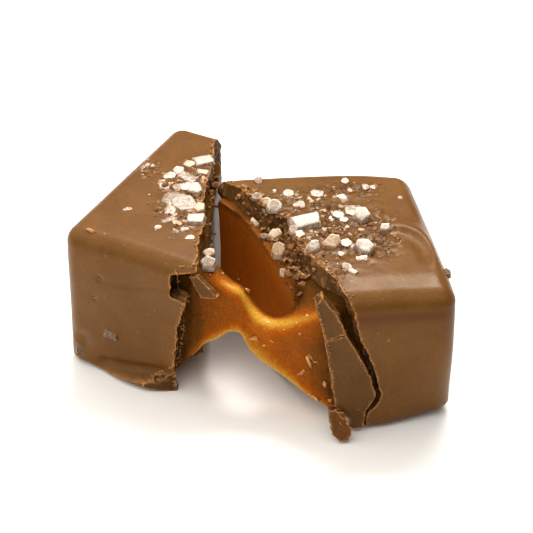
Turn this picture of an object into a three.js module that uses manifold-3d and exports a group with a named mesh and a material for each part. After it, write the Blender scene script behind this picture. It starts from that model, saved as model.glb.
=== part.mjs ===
// A salted caramel chocolate that has been pulled apart: two halves of a filled block,
// still joined near the front by a strand of soft caramel, with salt on both tops.
// Millimetres, +Z up. The origin is the middle of the underside of the whole thing.

import * as THREE from "three";
import { ImprovedNoise } from "three/addons/math/ImprovedNoise.js";
import { mergeVertices } from "three/addons/utils/BufferGeometryUtils.js";
import Module from "manifold-3d";

const wasm = await Module();
wasm.setup();

// The whole block before it was pulled apart: u runs along it, v from front to back, w up.
const LENGTH = 24.4;
const DEPTH = 22;
const HEIGHT = 15.6;
const TOP_RADIUS = 1.7;
const SIDE_RADIUS = 1.7;
const BOTTOM_RADIUS = 0.7;
const CROWN = 0.3;

// The chocolate shell round the caramel, and the air between two solids that meet.
const SHELL_TOP = 1.6;
const SHELL_SIDE = 1.6;
const SHELL_BOTTOM = 1.3;
const GAP = 0.3;

// Where the two halves lie: the outer front corner of each, and its turn about Z.
const LEFT_CORNER = [-19.7, -7.3];
const LEFT_TURN = -28.6;
const RIGHT_CORNER = [17.9, -17.6];
const RIGHT_TURN = 6;

// The foot of the left half's front wall flares out, from FOOT_START to FOOT_FULL along it.
const FOOT_FLARE = 0.9;
const FOOT_HEIGHT = 3.2;
const FOOT_START = 2;
const FOOT_FULL = 9;

// The right half narrows towards its far end, with a bowed back. That end slants, over
// END_REACH along the block, and its front corner is lifted and drawn in at the bottom.
const RIGHT_DEPTH = 20.6;
const RIGHT_TAPER = 0.06;
const RIGHT_BOW = 0.5;
const BOW_LENGTH = 20;
const END_SLANT = 0.085;
const END_REACH = 8;
const CORNER_LIFT = 0.6;
const CORNER_INSET = 1.2;
const CORNER_REACH = 12;

// A low fold left by the dipping lies on the right half's top: part of an ellipse, between
// FOLD_TURNS degrees round its centre.
const FOLD_CENTRE = [19.4, 6.6];
const FOLD_RADII = [3.9, 4.6];
const FOLD_HEIGHT = 0.22;
const FOLD_WIDTH = 1.2;
const FOLD_TURNS = [-40, 0, 75, 105];

// Slow waves in the front walls, as [wave length, height].
const LEFT_WAVES = [9, 0.35];
const RIGHT_WAVES = [8, 0.3];

const CORE_RADIUS = 1.0;
const SCOOP = 1.1;
const BREAK_ROUGHNESS = 0.28;
const SEED = 4708;

const radians = THREE.MathUtils.degToRad;
const { clamp, lerp, smoothstep } = THREE.MathUtils;
const noise = new ImprovedNoise();

// ---- Small helpers ---------------------------------------------------------------------

function seededRandom(seed) {
  let state = seed;
  return () => {
    state = (state + 0x6d2b79f5) | 0;
    let t = Math.imul(state ^ (state >>> 15), 1 | state);
    t = (t + Math.imul(t ^ (t >>> 7), 61 | t)) ^ t;
    return ((t ^ (t >>> 14)) >>> 0) / 4294967296;
  };
}

// Reads a value off a short list of [position, value] pairs, straight between them.
function profile(pairs, at) {
  if (at <= pairs[0][0]) return pairs[0][1];
  for (let i = 1; i < pairs.length; i += 1) {
    const [end, value] = pairs[i];
    const [start, before] = pairs[i - 1];
    if (at <= end) return lerp(before, value, (at - start) / (end - start));
  }
  return pairs[pairs.length - 1][1];
}

function closedGeometry(points, faces) {
  const geometry = new THREE.BufferGeometry();
  geometry.setAttribute("position", new THREE.Float32BufferAttribute(points.flat(), 3));
  geometry.setIndex(faces.flat());
  return geometry;
}

function toSolid(source) {
  const bare = source.clone();
  bare.deleteAttribute("normal");
  bare.deleteAttribute("uv");
  const geometry = mergeVertices(bare, 1e-4);
  return new wasm.Manifold(new wasm.Mesh({
    numProp: 3,
    vertProperties: new Float32Array(geometry.attributes.position.array),
    triVerts: new Uint32Array(geometry.index.array),
  }));
}

// Keeps the largest piece, so that no loose scrap of a cut is left.
function toGeometry(solid) {
  const pieces = solid.decompose().sort((a, b) => b.volume() - a.volume());
  const mesh = pieces[0].getMesh();
  const geometry = new THREE.BufferGeometry();
  geometry.setAttribute("position", new THREE.BufferAttribute(mesh.vertProperties, 3));
  geometry.setIndex(new THREE.BufferAttribute(mesh.triVerts, 1));
  return geometry;
}

function moveVertices(geometry, move) {
  const position = geometry.attributes.position;
  const point = new THREE.Vector3();
  for (let i = 0; i < position.count; i += 1) {
    point.fromBufferAttribute(position, i);
    move(point);
    position.setXYZ(i, point.x, point.y, point.z);
  }
  return geometry;
}

// Plan positions of a point given on the whole block, once its half has been pulled away.
function planOf(corner, turn, start) {
  const cos = Math.cos(radians(turn));
  const sin = Math.sin(radians(turn));
  return (u, v) => [
    corner[0] + (u - start) * cos - v * sin,
    corner[1] + (u - start) * sin + v * cos,
  ];
}
const onLeft = planOf(LEFT_CORNER, LEFT_TURN, 0);
const onRight = planOf(RIGHT_CORNER, RIGHT_TURN, LENGTH);

// ---- The block's outside ---------------------------------------------------------------

// A box whose edges are rounded, as moulded or dipped chocolate is: the grid lines crowd
// together at the edges, and a point past the flat core is drawn in to the radius.
function roundedBlock(segments, radiusTop, shape) {
  const sizes = [LENGTH, DEPTH, HEIGHT];
  const block = new THREE.BoxGeometry(2, 2, 2, ...segments);
  return moveVertices(block, (point) => {
    const radiusZ = point.z > 0 ? radiusTop : BOTTOM_RADIUS;
    const radii = [SIDE_RADIUS, SIDE_RADIUS, radiusZ];
    const flat = [];
    const past = [];
    ["x", "y", "z"].forEach((axis, i) => {
      const half = sizes[i] / 2;
      const at = Math.sin((point[axis] * Math.PI) / 2) * half;
      flat[i] = clamp(at, -(half - radii[i]), half - radii[i]);
      past[i] = (at - flat[i]) / radii[i];
    });
    const reach = Math.max(...past.map(Math.abs)) / (Math.hypot(...past) || 1);
    ["x", "y", "z"].forEach((axis, i) => {
      point[axis] = flat[i] + past[i] * reach * radii[i] + sizes[i] / 2;
    });
    shape(point);
  });
}

function crownAt(u, v) {
  const across = 1 - ((2 * u) / LENGTH - 1) ** 2;
  const along = 1 - ((2 * v) / DEPTH - 1) ** 2;
  return CROWN * clamp(across, 0, 1) * clamp(along, 0, 1);
}

function waver(point, [size, amount]) {
  return noise.noise(point.x / size, point.y / size, point.z / size + 7.3) * amount;
}

function shapeLeft(point) {
  const height = point.z / HEIGHT;
  point.z += crownAt(point.x, point.y) * smoothstep(height, 0.6, 1);
  const low = (1 - smoothstep(point.z, 0, FOOT_HEIGHT)) ** 1.6;
  const front = 1 - smoothstep(point.y, 0, 4);
  point.y -= FOOT_FLARE * low * front * smoothstep(point.x, FOOT_START, FOOT_FULL);
  point.y += waver(point, LEFT_WAVES) * (1 - low);
}

function foldHeight(u, v) {
  const x = (u - FOLD_CENTRE[0]) / FOLD_RADII[0];
  const y = (v - FOLD_CENTRE[1]) / FOLD_RADII[1];
  const away = (Math.hypot(x, y) - 1) * FOLD_RADII[0];
  const turn = (Math.atan2(y, x) * 180) / Math.PI;
  const share = smoothstep(turn, FOLD_TURNS[0], FOLD_TURNS[1])
    * (1 - smoothstep(turn, FOLD_TURNS[2], FOLD_TURNS[3]));
  return FOLD_HEIGHT * share * Math.exp(-((away / FOLD_WIDTH) ** 2));
}

function shapeRight(point) {
  const fromEnd = LENGTH - point.x;
  const height = point.z / HEIGHT;
  const bow = RIGHT_BOW * Math.sin((Math.PI * clamp(fromEnd, 0, BOW_LENGTH)) / BOW_LENGTH);
  const backEdge = RIGHT_DEPTH + RIGHT_TAPER * fromEnd + bow;
  const rise = crownAt(point.x, point.y) + foldHeight(point.x, point.y);
  point.z += rise * smoothstep(height, 0.6, 1);
  point.y *= backEdge / DEPTH;
  const nearEnd = 1 - smoothstep(fromEnd, 0, END_REACH);
  point.x -= END_SLANT * point.y * nearEnd;
  const endCorner = nearEnd * (1 - smoothstep(point.y, 0, CORNER_REACH));
  point.z += CORNER_LIFT * endCorner * (1 - smoothstep(height, 0, 0.45));
  point.y += CORNER_INSET * endCorner * (1 - smoothstep(height, 0, 0.6));
  point.y += waver(point, RIGHT_WAVES) * height;
}

// ---- The caramel -----------------------------------------------------------------------

// Each station is one upright slice through the caramel: its front and back edge in plan,
// its underside and its top at those two edges, how deep its back edge is scooped, and the
// number of slices up to the next station. Where the back edge slides forward along a
// break, the slices fan out and form that broken face.
const FRONT = SHELL_SIDE;
const BACK = DEPTH - SHELL_SIDE;
const FLOOR = SHELL_BOTTOM;
const TOP = HEIGHT - SHELL_TOP;
const stations = [
  { front: onLeft(1.7, FRONT), back: onLeft(1.7, BACK), low: [FLOOR, FLOOR], top: [TOP, TOP], steps: 3 },
  { front: onLeft(8.5, FRONT), back: onLeft(4.2, BACK), low: [FLOOR, FLOOR], top: [TOP, TOP], steps: 2 },
  { front: onLeft(11.3, FRONT), back: [-4.6, 7.2], low: [1.5, FLOOR], top: [TOP, TOP], steps: 2 },
  { front: onLeft(12.1, 1.7), back: [-4.75, 3.6], low: [2.2, 1.2], top: [13.9, TOP], steps: 3 },
  { front: onLeft(12.9, 1.8), back: [-5.1, -0.6], low: [3.4, 1.3], top: [13.8, 13.9], scoop: 0.1, steps: 3 },
  { front: onLeft(13.6, 1.9), back: [-5.45, -4.6], low: [4.2, 2.0], top: [13.7, 13.8], scoop: 0.1, steps: 3 },
  { front: [-6.2, -11.8], back: [-5.2, -8.0], low: [4.9, 3.6], top: [13.4, 13.5], scoop: 0.1, steps: 3 },
  { front: [-5.2, -12.1], back: [-4.0, -9.9], low: [5.7, 5.0], top: [12.9, 13.0], steps: 2 },
  { front: [-4.0, -12.7], back: [-3.1, -10.9], low: [6.9, 6.8], top: [12.5, 12.6], steps: 2 },
  { front: [-2.9, -13.2], back: [-2.1, -11.4], low: [7.3, 7.4], top: [12.2, 12.2], steps: 2 },
  { front: [-2.3, -13.5], back: [-1.5, -11.8], low: [6.8, 6.9], top: [11.4, 11.5], steps: 2 },
  { front: [-1.7, -13.8], back: [-0.9, -12.1], low: [5.7, 5.8], top: [10.4, 10.6], steps: 2 },
  { front: [-0.8, -14.3], back: [0.0, -12.5], low: [4.9, 5.0], top: [9.7, 9.9], steps: 2 },
  { front: [0.5, -14.9], back: [1.1, -13.0], low: [4.2, 4.3], top: [9.5, 9.8], steps: 2 },
  { front: [2.2, -15.8], back: [2.1, -13.6], low: [3.4, 3.3], top: [10.1, 10.9], steps: 2 },
  { front: [4.1, -16.8], back: [2.8, -14.0], low: [2.5, 2.3], top: [11.4, 12.4], steps: 2 },
  { front: onRight(12.2, 1.7), back: [2.6, -13.1], low: [1.8, 1.5], top: [12.7, 13.2], scoop: 0.2, steps: 2 },
  {
    front: onRight(13.0, FRONT), back: [1.9, -11.9],
    low: [1.4, 1.2], top: [13.5, 13.6], scoop: 0.7, steps: 3,
  },
  { front: onRight(13.8, FRONT), back: [0.6, -9.6], low: [1.2, 1.2], top: [13.8, 13.8], scoop: 1, steps: 3 },
  { front: onRight(14.7, FRONT), back: [-0.8, -6.6], low: [1.2, 1.2], top: [TOP, 13.9], scoop: 1, steps: 3 },
  { front: onRight(15.6, FRONT), back: [-2.5, -2.8], low: [1.2, 1.2], top: [TOP, TOP], scoop: 0.8, steps: 3 },
  { front: onRight(16.5, FRONT), back: [-4.55, 0.9], low: [1.3, 1.3], top: [TOP, TOP], scoop: 0.3, steps: 2 },
  { front: onRight(18.5, FRONT), back: onRight(13.0, 19.2), low: [1.4, 1.4], top: [TOP, TOP], steps: 3 },
  {
    front: onRight(LENGTH - 1.9, 2.8), back: onRight(LENGTH - 3.3, 18.6),
    low: [2.4, 1.6], top: [TOP, TOP], steps: 0,
  },
];

// One slice's outline as fractions across and up, with rounded corners.
function sliceOutline(width, height, radius) {
  const outline = [];
  const corners = [[1, 0], [1, 1], [0, 1], [0, 0]];
  corners.forEach(([across, up], quarter) => {
    for (let i = 0; i <= 4; i += 1) {
      const angle = ((quarter - 1 + i / 4) * Math.PI) / 2;
      const x = lerp(radius, width - radius, across) + radius * Math.cos(angle);
      const z = lerp(radius, height - radius, up) + radius * Math.sin(angle);
      outline.push([x, z]);
    }
    if (quarter % 2 === 0) {
      const sideX = across ? width : 0;
      for (const part of [0.25, 0.5, 0.75]) {
        const z = lerp(radius, height - radius, across ? part : 1 - part);
        outline.push([sideX, z]);
      }
    }
  });
  return outline;
}

function channelsOf(station) {
  return [...station.front, ...station.back, ...station.low, ...station.top, station.scoop ?? 0];
}

function blendStations(index, part) {
  const pick = (i) => channelsOf(stations[clamp(i, 0, stations.length - 1)]);
  const [a, b, c, d] = [pick(index - 1), pick(index), pick(index + 1), pick(index + 2)];
  return b.map((value, k) => {
    const rise = (c[k] - a[k]) / 2;
    const fall = (d[k] - value) / 2;
    const p = part;
    return (2 * p ** 3 - 3 * p ** 2 + 1) * value + (p ** 3 - 2 * p ** 2 + p) * rise
      + (3 * p ** 2 - 2 * p ** 3) * c[k] + (p ** 3 - p ** 2) * fall;
  });
}

function slicePoints(channels, grow) {
  const [frontX, frontY, backX, backY, lowFront, lowBack, topFront, topBack, scoop] = channels;
  const width = Math.hypot(backX - frontX, backY - frontY);
  const step = [(backX - frontX) / width, (backY - frontY) / width];
  const height = Math.min(topFront - lowFront, topBack - lowBack);
  const radius = Math.min(CORE_RADIUS, width * 0.42, height * 0.4);
  return sliceOutline(width, height, radius).map(([x, z]) => {
    const across = x / width;
    const up = z / height;
    const sag = scoop * SCOOP * Math.sin(Math.PI * clamp(up, 0, 1)) * across ** 2;
    const along = x - sag + grow * (2 * across - 1);
    const low = lerp(lowFront, lowBack, across);
    const top = lerp(topFront, topBack, across);
    return [
      frontX + step[0] * along,
      frontY + step[1] * along,
      lerp(low, top, up) + grow * (2 * up - 1),
    ];
  });
}

function caramelLoft(grow) {
  const slices = [];
  stations.forEach((station, index) => {
    const steps = Math.max(station.steps, 1);
    for (let i = 0; i < steps; i += 1) slices.push(slicePoints(blendStations(index, i / steps), grow));
  });
  if (grow > 0) {
    const push = (slice, next) => slice.map((point, i) => {
      const away = [0, 1].map((k) => slice[i][k] - next[i][k]);
      const reach = grow / Math.hypot(...away);
      return [point[0] + away[0] * reach, point[1] + away[1] * reach, point[2]];
    });
    slices[0] = push(slices[0], slices[1]);
    slices[slices.length - 1] = push(slices[slices.length - 1], slices[slices.length - 2]);
  }
  const count = slices[0].length;
  const points = slices.flat();
  const faces = [];
  for (let s = 0; s + 1 < slices.length; s += 1) {
    for (let i = 0; i < count; i += 1) {
      const j = (i + 1) % count;
      const [a, b, c, d] = [s * count + i, s * count + j, (s + 1) * count + i, (s + 1) * count + j];
      faces.push([a, b, c], [b, d, c]);
    }
  }
  for (const [slice, flip] of [[0, false], [slices.length - 1, true]]) {
    const middle = [0, 1, 2].map((k) => slices[slice].reduce((sum, p) => sum + p[k], 0) / count);
    points.push(middle);
    const hub = points.length - 1;
    for (let i = 0; i < count; i += 1) {
      const a = slice * count + i;
      const b = slice * count + ((i + 1) % count);
      faces.push(flip ? [hub, a, b] : [hub, b, a]);
    }
  }
  return closedGeometry(points, faces);
}

// ---- The breaks ------------------------------------------------------------------------

// How far along the block each shell ends: on its top, from front to back, and on its front
// wall, from the table up. The side is 1 for the left half, whose missing part lies at
// larger u. lean: how far the layer under the top reaches out. backShort: how much sooner
// the back wall ends. floorBite: how much of the floor is missing behind the front wall.
// footSlant: how much sooner the flared foot ends, for each millimetre towards its front.
const LEFT_BREAK = {
  side: 1,
  top: [
    [0, 14.9], [2.9, 13.5], [5.6, 12.2], [7.3, 11.7], [8.2, 10.2], [10.5, 9.8], [13.7, 8.3],
    [16.3, 7.4], [20.6, 5.3], [22, 5.3],
  ],
  front: [
    [0, 12.5], [0.9, 12.4], [2.1, 12.3], [3.6, 12.3], [7.4, 12.6], [9.5, 13.1], [11.6, 13.8],
    [11.7, 12.0], [14.4, 12.2], [15.2, 14.9],
  ],
  lean: 0,
  backShort: 0,
  floorBite: -3,
  footSlant: 1.85,
};
const RIGHT_BREAK = {
  side: -1,
  top: [
    [0, 14.1], [1.7, 13.6], [3.1, 13.3], [5.1, 12.1], [7.1, 11.1], [8.4, 10.5], [10.5, 9.8],
    [13.5, 9.8], [14.6, 8.3], [15.8, 7.6], [17.2, 6.8], [19.3, 5.7], [20.3, 4.7], [22, 4.3],
  ],
  front: [
    [0, 16.1], [1.2, 16], [2.1, 16.2], [3.4, 17.2], [4.1, 17.4], [5.3, 17.1], [7.1, 16.6],
    [8.9, 16.1], [11.3, 15.1], [13.8, 14.6], [15.6, 14.1],
  ],
  lean: -0.5,
  backShort: 2,
  floorBite: 0,
  footSlant: 0,
};

// The break surface: it follows the top's line, leans to the front wall's line near the
// front, and is rough.
function breakAt(v, w, { top, front, lean, backShort, floorBite, footSlant }) {
  const below = HEIGHT - w;
  const nearFront = 1 - smoothstep(v, 1.2, 4.5);
  const nearFloor = 1 - smoothstep(w, 1.3, 2.6);
  const behindWall = smoothstep(v, 1.2, 2.4) * (1 - smoothstep(v, 5, 8));
  const rough = noise.noise(v * 0.9, w * 0.9, 3.1) + 0.5 * noise.noise(v * 2.1, w * 2.1, 9.7);
  return profile(top, v)
    + (profile(front, w) - profile(front, HEIGHT)) * nearFront
    + lean * smoothstep(below, 0, SHELL_TOP) * smoothstep(v, 2, 6)
    + backShort * smoothstep(below, 2.1, 3.2) * smoothstep(v, 16.5, 19)
    + floorBite * nearFloor * behindWall
    + footSlant * Math.min(v - 0.75, 0) * (1 - smoothstep(w, 0.6, 4.4))
    + rough * BREAK_ROUGHNESS;
}

// Everything past the break, as one solid to cut away.
const BREAK_SEGMENTS = [1, 26, 20];

function pastBreak(part) {
  const past = new THREE.BoxGeometry(1, 1, 1, ...BREAK_SEGMENTS);
  return moveVertices(past, (point) => {
    const v = lerp(-3, DEPTH + 4, point.y + 0.5);
    const w = lerp(-1, HEIGHT + 2.5, point.z + 0.5);
    const start = breakAt(clamp(v, -1, DEPTH), clamp(w, 0, HEIGHT), part);
    const onBreak = point.x * part.side < 0;
    point.set(onBreak ? start : start + part.side * LENGTH * 1.5, v, w);
  });
}

// ---- Salt ------------------------------------------------------------------------------

// A grain is a chipped crystal: an icosahedron stretched to its length, width and height,
// turned and a little tipped.
function grainSolid(at, size, turn, random) {
  const grain = new THREE.IcosahedronGeometry(0.5, 0);
  grain.scale(size, size * lerp(0.55, 0.75, random()), size * lerp(0.45, 0.6, random()));
  grain.rotateY(lerp(-0.25, 0.25, random()));
  grain.rotateZ(radians(turn));
  grain.translate(...at);
  return toSolid(grain);
}

// The large grains as [u, v, length, turn], then small ones strewn over a band of the top.
const LEFT_GRAINS = [
  [5.9, 16.0, 2.8, 40], [7.0, 14.7, 1.2, 10], [5.1, 13.9, 1.3, 80], [6.3, 12.9, 1.6, 0],
  [7.2, 11.3, 2.3, 30], [7.7, 9.3, 2.5, 60], [10.0, 7.3, 1.8, 20], [4.5, 5.3, 1.4, 0],
];
const RIGHT_GRAINS = [
  [11.6, 11.9, 3.3, 12], [8.3, 16.5, 1.1, 0], [8.9, 15.6, 1.0, 40], [9.6, 14.6, 1.5, 70],
  [11.0, 9.6, 1.2, 50], [12.2, 7.9, 1.7, 20], [13.9, 8.6, 2.0, 80], [16.1, 13.8, 1.6, 30],
  [17.0, 12.0, 1.9, 60], [14.5, 13.0, 1.9, 10], [16.4, 7.1, 2.0, 100], [18.9, 10.5, 1.2, 0],
  [14.6, 3.9, 1.8, 40], [13.2, 16.4, 1.3, 0],
];
const SMALL_GRAINS = 10;
const SMALL_SIZES = [0.7, 1.2];
const BREAK_MARGIN = 1.1;
const TRIES = 400;

function strewnGrains(named, band, random, isClear) {
  const grains = [...named];
  for (let tries = 0; tries < TRIES && grains.length < named.length + SMALL_GRAINS; tries += 1) {
    const u = lerp(...band.u, random());
    const v = lerp(...band.v, random());
    const size = lerp(...SMALL_SIZES, random() ** 2);
    const turn = random() * 180;
    const apart = grains.every(([otherU, otherV, otherSize]) => (
      Math.hypot(otherU - u, otherV - v) > (otherSize + size) * 0.55
    ));
    if (apart && isClear(u, v)) grains.push([u, v, size, turn]);
  }
  return grains;
}

function saltSolids(grains, random) {
  return grains.map(([u, v, size, turn]) => {
    const w = HEIGHT + crownAt(u, v) + size * 0.1;
    return grainSolid([u, v, w], size, turn, random);
  });
}

// Grains that fell on the caramel where the shell has come away, as [x, y, z, length, turn].
const CARAMEL_GRAINS = [
  [0.9, -6.4, 14.1, 1.4, 20], [1.2, -9.3, 14.1, 1.9, 70], [-0.2, -6.3, 14.1, 0.9, 0],
  [-1.0, -4.4, 14.1, 0.9, 60], [-5.2, -10.4, 13.8, 1.4, 20],
];

// ---- The two shells --------------------------------------------------------------------

function inHalf(geometry, corner, turn, start) {
  const moved = geometry.clone();
  moved.translate(-corner[0], -corner[1], 0);
  moved.rotateZ(-radians(turn));
  moved.translate(start, 0, 0);
  return moved;
}

function shellSolid(block, cavity, past, grains) {
  let solid = toSolid(block).subtract(toSolid(past));
  for (const grain of grains) solid = solid.add(grain);
  return solid.subtract(toSolid(cavity));
}

const BLOCK_SEGMENTS = [16, 14, 12];

function leftShell() {
  const random = seededRandom(SEED);
  const block = roundedBlock(BLOCK_SEGMENTS, TOP_RADIUS, shapeLeft);
  const clear = (u, v) => u < profile(LEFT_BREAK.top, v) - BREAK_MARGIN;
  const band = { u: [2, 10.5], v: [5, 18] };
  const grains = saltSolids(strewnGrains(LEFT_GRAINS, band, random, clear), random);
  const cavity = inHalf(caramelLoft(GAP), LEFT_CORNER, LEFT_TURN, 0);
  return toGeometry(shellSolid(block, cavity, pastBreak(LEFT_BREAK), grains));
}

function rightShell() {
  const random = seededRandom(SEED + 1);
  const block = roundedBlock(BLOCK_SEGMENTS, TOP_RADIUS, shapeRight);
  const clear = (u, v) => u > profile(RIGHT_BREAK.top, v) + BREAK_MARGIN;
  const band = { u: [9, 22], v: [5, 18.5] };
  const grains = saltSolids(strewnGrains(RIGHT_GRAINS, band, random, clear), random);
  const cavity = inHalf(caramelLoft(GAP), RIGHT_CORNER, RIGHT_TURN, LENGTH);
  return toGeometry(shellSolid(block, cavity, pastBreak(RIGHT_BREAK), grains));
}

function saltedCaramel() {
  const random = seededRandom(SEED + 2);
  let solid = toSolid(caramelLoft(0));
  for (const [x, y, z, size, turn] of CARAMEL_GRAINS) {
    solid = solid.add(grainSolid([x, y, z], size, turn, random));
  }
  return toGeometry(solid);
}

// ---- Splinters of the shell ------------------------------------------------------------

// A splinter is a flat piece of broken wall, drawn standing up, seen from the front.
function splinter(outline, thickness) {
  const shape = new THREE.Shape(outline.map(([u, w]) => new THREE.Vector2(u, w)));
  const geometry = new THREE.ExtrudeGeometry(shape, { depth: thickness, bevelEnabled: false });
  geometry.rotateX(Math.PI / 2);
  geometry.translate(0, thickness, 0);
  return geometry;
}

// The two long splinters stand a little proud of the right half's front wall; the flake
// below them leans on it from the table, and a last flake sticks to the strand.
const SPLINTERS = [
  {
    name: "splinter_upper", thickness: 1.2, place: [0, -0.3, 0], turn: [0, 0, 0],
    outline: [[10.9, 15.3], [11.6, 16.0], [13.1, 13.7], [13.8, 11.9], [11.9, 11.3], [11.3, 13.3]],
  },
  {
    name: "splinter_lower", thickness: 1.2, place: [0, -0.3, 0], turn: [0, 0, 0],
    outline: [
      [11.8, 10.9], [13.8, 11.5], [14.6, 10.1], [15.4, 8.4], [16.2, 6.4], [16.7, 4.6],
      [16.6, 3.9], [15.9, 2.6], [15.6, 0.5], [14.4, 0.5], [14.3, 1.7], [12.9, 3.3], [12.5, 6.5],
      [12.2, 8.6],
    ],
  },
  {
    name: "splinter_foot", thickness: 0.8, place: [12.2, -1.95, 0.33], turn: [-24, 0, 0],
    outline: [[0, 3.3], [1.4, 2.8], [2.2, 1.2], [1.9, 0.1], [1.0, 0], [0.3, 0.9]],
  },
];
const STRAND_FLAKE = {
  name: "splinter_strand", thickness: 0.5, place: [-7.3, -12.5, 0], turn: [0, 0, -25],
  outline: [[0, 13.7], [0.75, 14.0], [2.9, 12.2], [2.5, 11.9], [1.2, 11.6]],
};

// ---- The scene graph -------------------------------------------------------------------

function finish(color, roughness) {
  return new THREE.MeshStandardMaterial({ color, roughness, metalness: 0 });
}

function addPiece(parent, name, geometry, surface) {
  const mesh = new THREE.Mesh(geometry, surface);
  mesh.name = name;
  parent.add(mesh);
  return mesh;
}

function addSplinter(parent, { name, outline, thickness, place, turn }) {
  const mesh = addPiece(parent, name, splinter(outline, thickness), finish("#7d5430", 0.5));
  mesh.position.set(...place);
  mesh.rotation.set(...turn.map(radians));
}

const leftHalf = new THREE.Group();
leftHalf.position.set(...LEFT_CORNER, 0);
leftHalf.rotation.z = radians(LEFT_TURN);
addPiece(leftHalf, "shell_left", leftShell(), finish("#8a5f3a", 0.45));

const rightBlock = new THREE.Group();
rightBlock.position.x = -LENGTH;
addPiece(rightBlock, "shell_right", rightShell(), finish("#8a5f3a", 0.45));
SPLINTERS.forEach((piece) => addSplinter(rightBlock, piece));

const rightHalf = new THREE.Group();
rightHalf.position.set(...RIGHT_CORNER, 0);
rightHalf.rotation.z = radians(RIGHT_TURN);
rightHalf.add(rightBlock);

const candy = new THREE.Group();
addPiece(candy, "caramel", saltedCaramel(), finish("#a8541a", 0.3));
addSplinter(candy, STRAND_FLAKE);
candy.add(leftHalf, rightHalf);

// The origin goes to the middle of the underside.
const bounds = new THREE.Box3().setFromObject(candy, true);
const middle = bounds.getCenter(new THREE.Vector3());
candy.position.set(-middle.x, -middle.y, -bounds.min.z);

const part = new THREE.Group();
part.add(candy);

export default part;
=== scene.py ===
# %% [markdown]
# # A salted caramel, pulled apart
#
# The real thing is a block of soft caramel in a milk chocolate shell, with coarse salt
# on top. It has been pulled into two halves, which a strand of caramel still joins.
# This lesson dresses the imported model: the solids say where everything is, and each
# piece here is a finer copy of one of them, or something too small for them.

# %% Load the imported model
import math
import random

import bmesh
import bpy
import numpy as np
from mathutils import Matrix, Vector, noise
from mathutils.bvhtree import BVHTree


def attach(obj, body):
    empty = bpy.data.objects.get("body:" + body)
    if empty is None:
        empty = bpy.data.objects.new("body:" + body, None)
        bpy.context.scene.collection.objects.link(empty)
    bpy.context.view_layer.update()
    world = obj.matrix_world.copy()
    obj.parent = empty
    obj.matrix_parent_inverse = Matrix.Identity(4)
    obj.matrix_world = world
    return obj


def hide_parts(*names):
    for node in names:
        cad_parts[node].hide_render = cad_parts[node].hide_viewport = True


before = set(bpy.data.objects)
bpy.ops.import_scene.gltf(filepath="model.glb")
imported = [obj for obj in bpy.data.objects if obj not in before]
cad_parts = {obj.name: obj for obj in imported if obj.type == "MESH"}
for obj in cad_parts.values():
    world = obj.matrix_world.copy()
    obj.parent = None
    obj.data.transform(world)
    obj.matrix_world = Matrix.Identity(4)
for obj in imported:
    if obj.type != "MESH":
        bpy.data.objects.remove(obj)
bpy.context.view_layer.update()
print("nodes:", sorted(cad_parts))

# %% [markdown]
# ## Sizes
#
# A maker thinks of the block before it was pulled apart: u runs along it, v from front
# to back and w up, in millimetres. Each half then has a corner and a turn on the table.
# Modelling in those plain coordinates and moving the finished mesh once, at the end,
# is far easier than modelling a block that is already turned.

# %% The block, its shell and where the halves lie
MM = 0.001
LENGTH = 24.4
DEPTH = 22.0
HEIGHT = 15.6
TOP_RADIUS = 1.7
SIDE_RADIUS = 1.7
BOTTOM_RADIUS = 0.7
CROWN = 0.3
WALL = 1.6
FLOOR = 1.3
LEFT_CORNER = (-19.7, -7.3)
LEFT_TURN = -28.6
RIGHT_CORNER = (17.9, -17.6)
RIGHT_TURN = 6.0
MIDDLE = (-0.7589, -4.6769)

ON_TABLE = Matrix.Scale(MM, 4) @ Matrix.Translation((-MIDDLE[0], -MIDDLE[1], 0))


def half_matrix(corner, turn, start):
    """From u, v, w on the whole block to the frame, for the half with that corner."""
    place = Matrix.Translation((corner[0], corner[1], 0))
    return ON_TABLE @ place @ Matrix.Rotation(math.radians(turn), 4, "Z") @ Matrix.Translation((-start, 0, 0))


LEFT = half_matrix(LEFT_CORNER, LEFT_TURN, 0)
RIGHT = half_matrix(RIGHT_CORNER, RIGHT_TURN, LENGTH)
print("left outer corner:", [round(x / MM, 2) for x in LEFT @ Vector((0, 0, 0))], "mm")

# %% [markdown]
# ## Camera, table and light
#
# Sweets like this are shown on a white table, seen from a little above, with light from
# all round: a white room that is brighter above, and two soft lamps. The lamps hang
# somewhat behind the candy, so that their reflections lie along the rounded edges of the
# chocolate.

# %% Camera
LOOK_HEIGHT = 6.0
LOOK_AT = Vector((-MIDDLE[0], -MIDDLE[1], LOOK_HEIGHT)) * MM
CAMERA_DISTANCE = 260 * MM
CAMERA_HEIGHT = math.radians(35.4)
FOCAL_LENGTH = 175.6

camera_data = bpy.data.cameras.new("camera")
camera_data.lens = FOCAL_LENGTH
camera_data.clip_start = 0.01
camera = bpy.data.objects.new("camera", camera_data)
bpy.context.collection.objects.link(camera)
back = Vector((0, -math.cos(CAMERA_HEIGHT), math.sin(CAMERA_HEIGHT)))
camera.location = LOOK_AT + CAMERA_DISTANCE * back
camera.rotation_euler = (math.pi / 2 - CAMERA_HEIGHT, 0, 0)
bpy.context.scene.camera = camera
bpy.context.scene.view_settings.view_transform = "Standard"
print("camera:", [round(x, 3) for x in camera.location])


# %% Helpers for node trees
def feed(tree, to, **values):
    """Sets or links the inputs of a node, each by its label with _ for a space."""
    for label, value in values.items():
        socket = to.inputs[label.replace("_", " ")]
        if isinstance(value, bpy.types.NodeSocket):
            tree.links.new(value, socket)
        else:
            socket.default_value = value
    return to


def node(tree, kind, **settings):
    """A node with its settings, and its inputs where a setting names one."""
    made = tree.nodes.new("ShaderNode" + kind)
    for label, value in settings.items():
        if label.replace("_", " ") in made.inputs:
            feed(tree, made, **{label: value})
        else:
            setattr(made, label, value)
    return made


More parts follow.
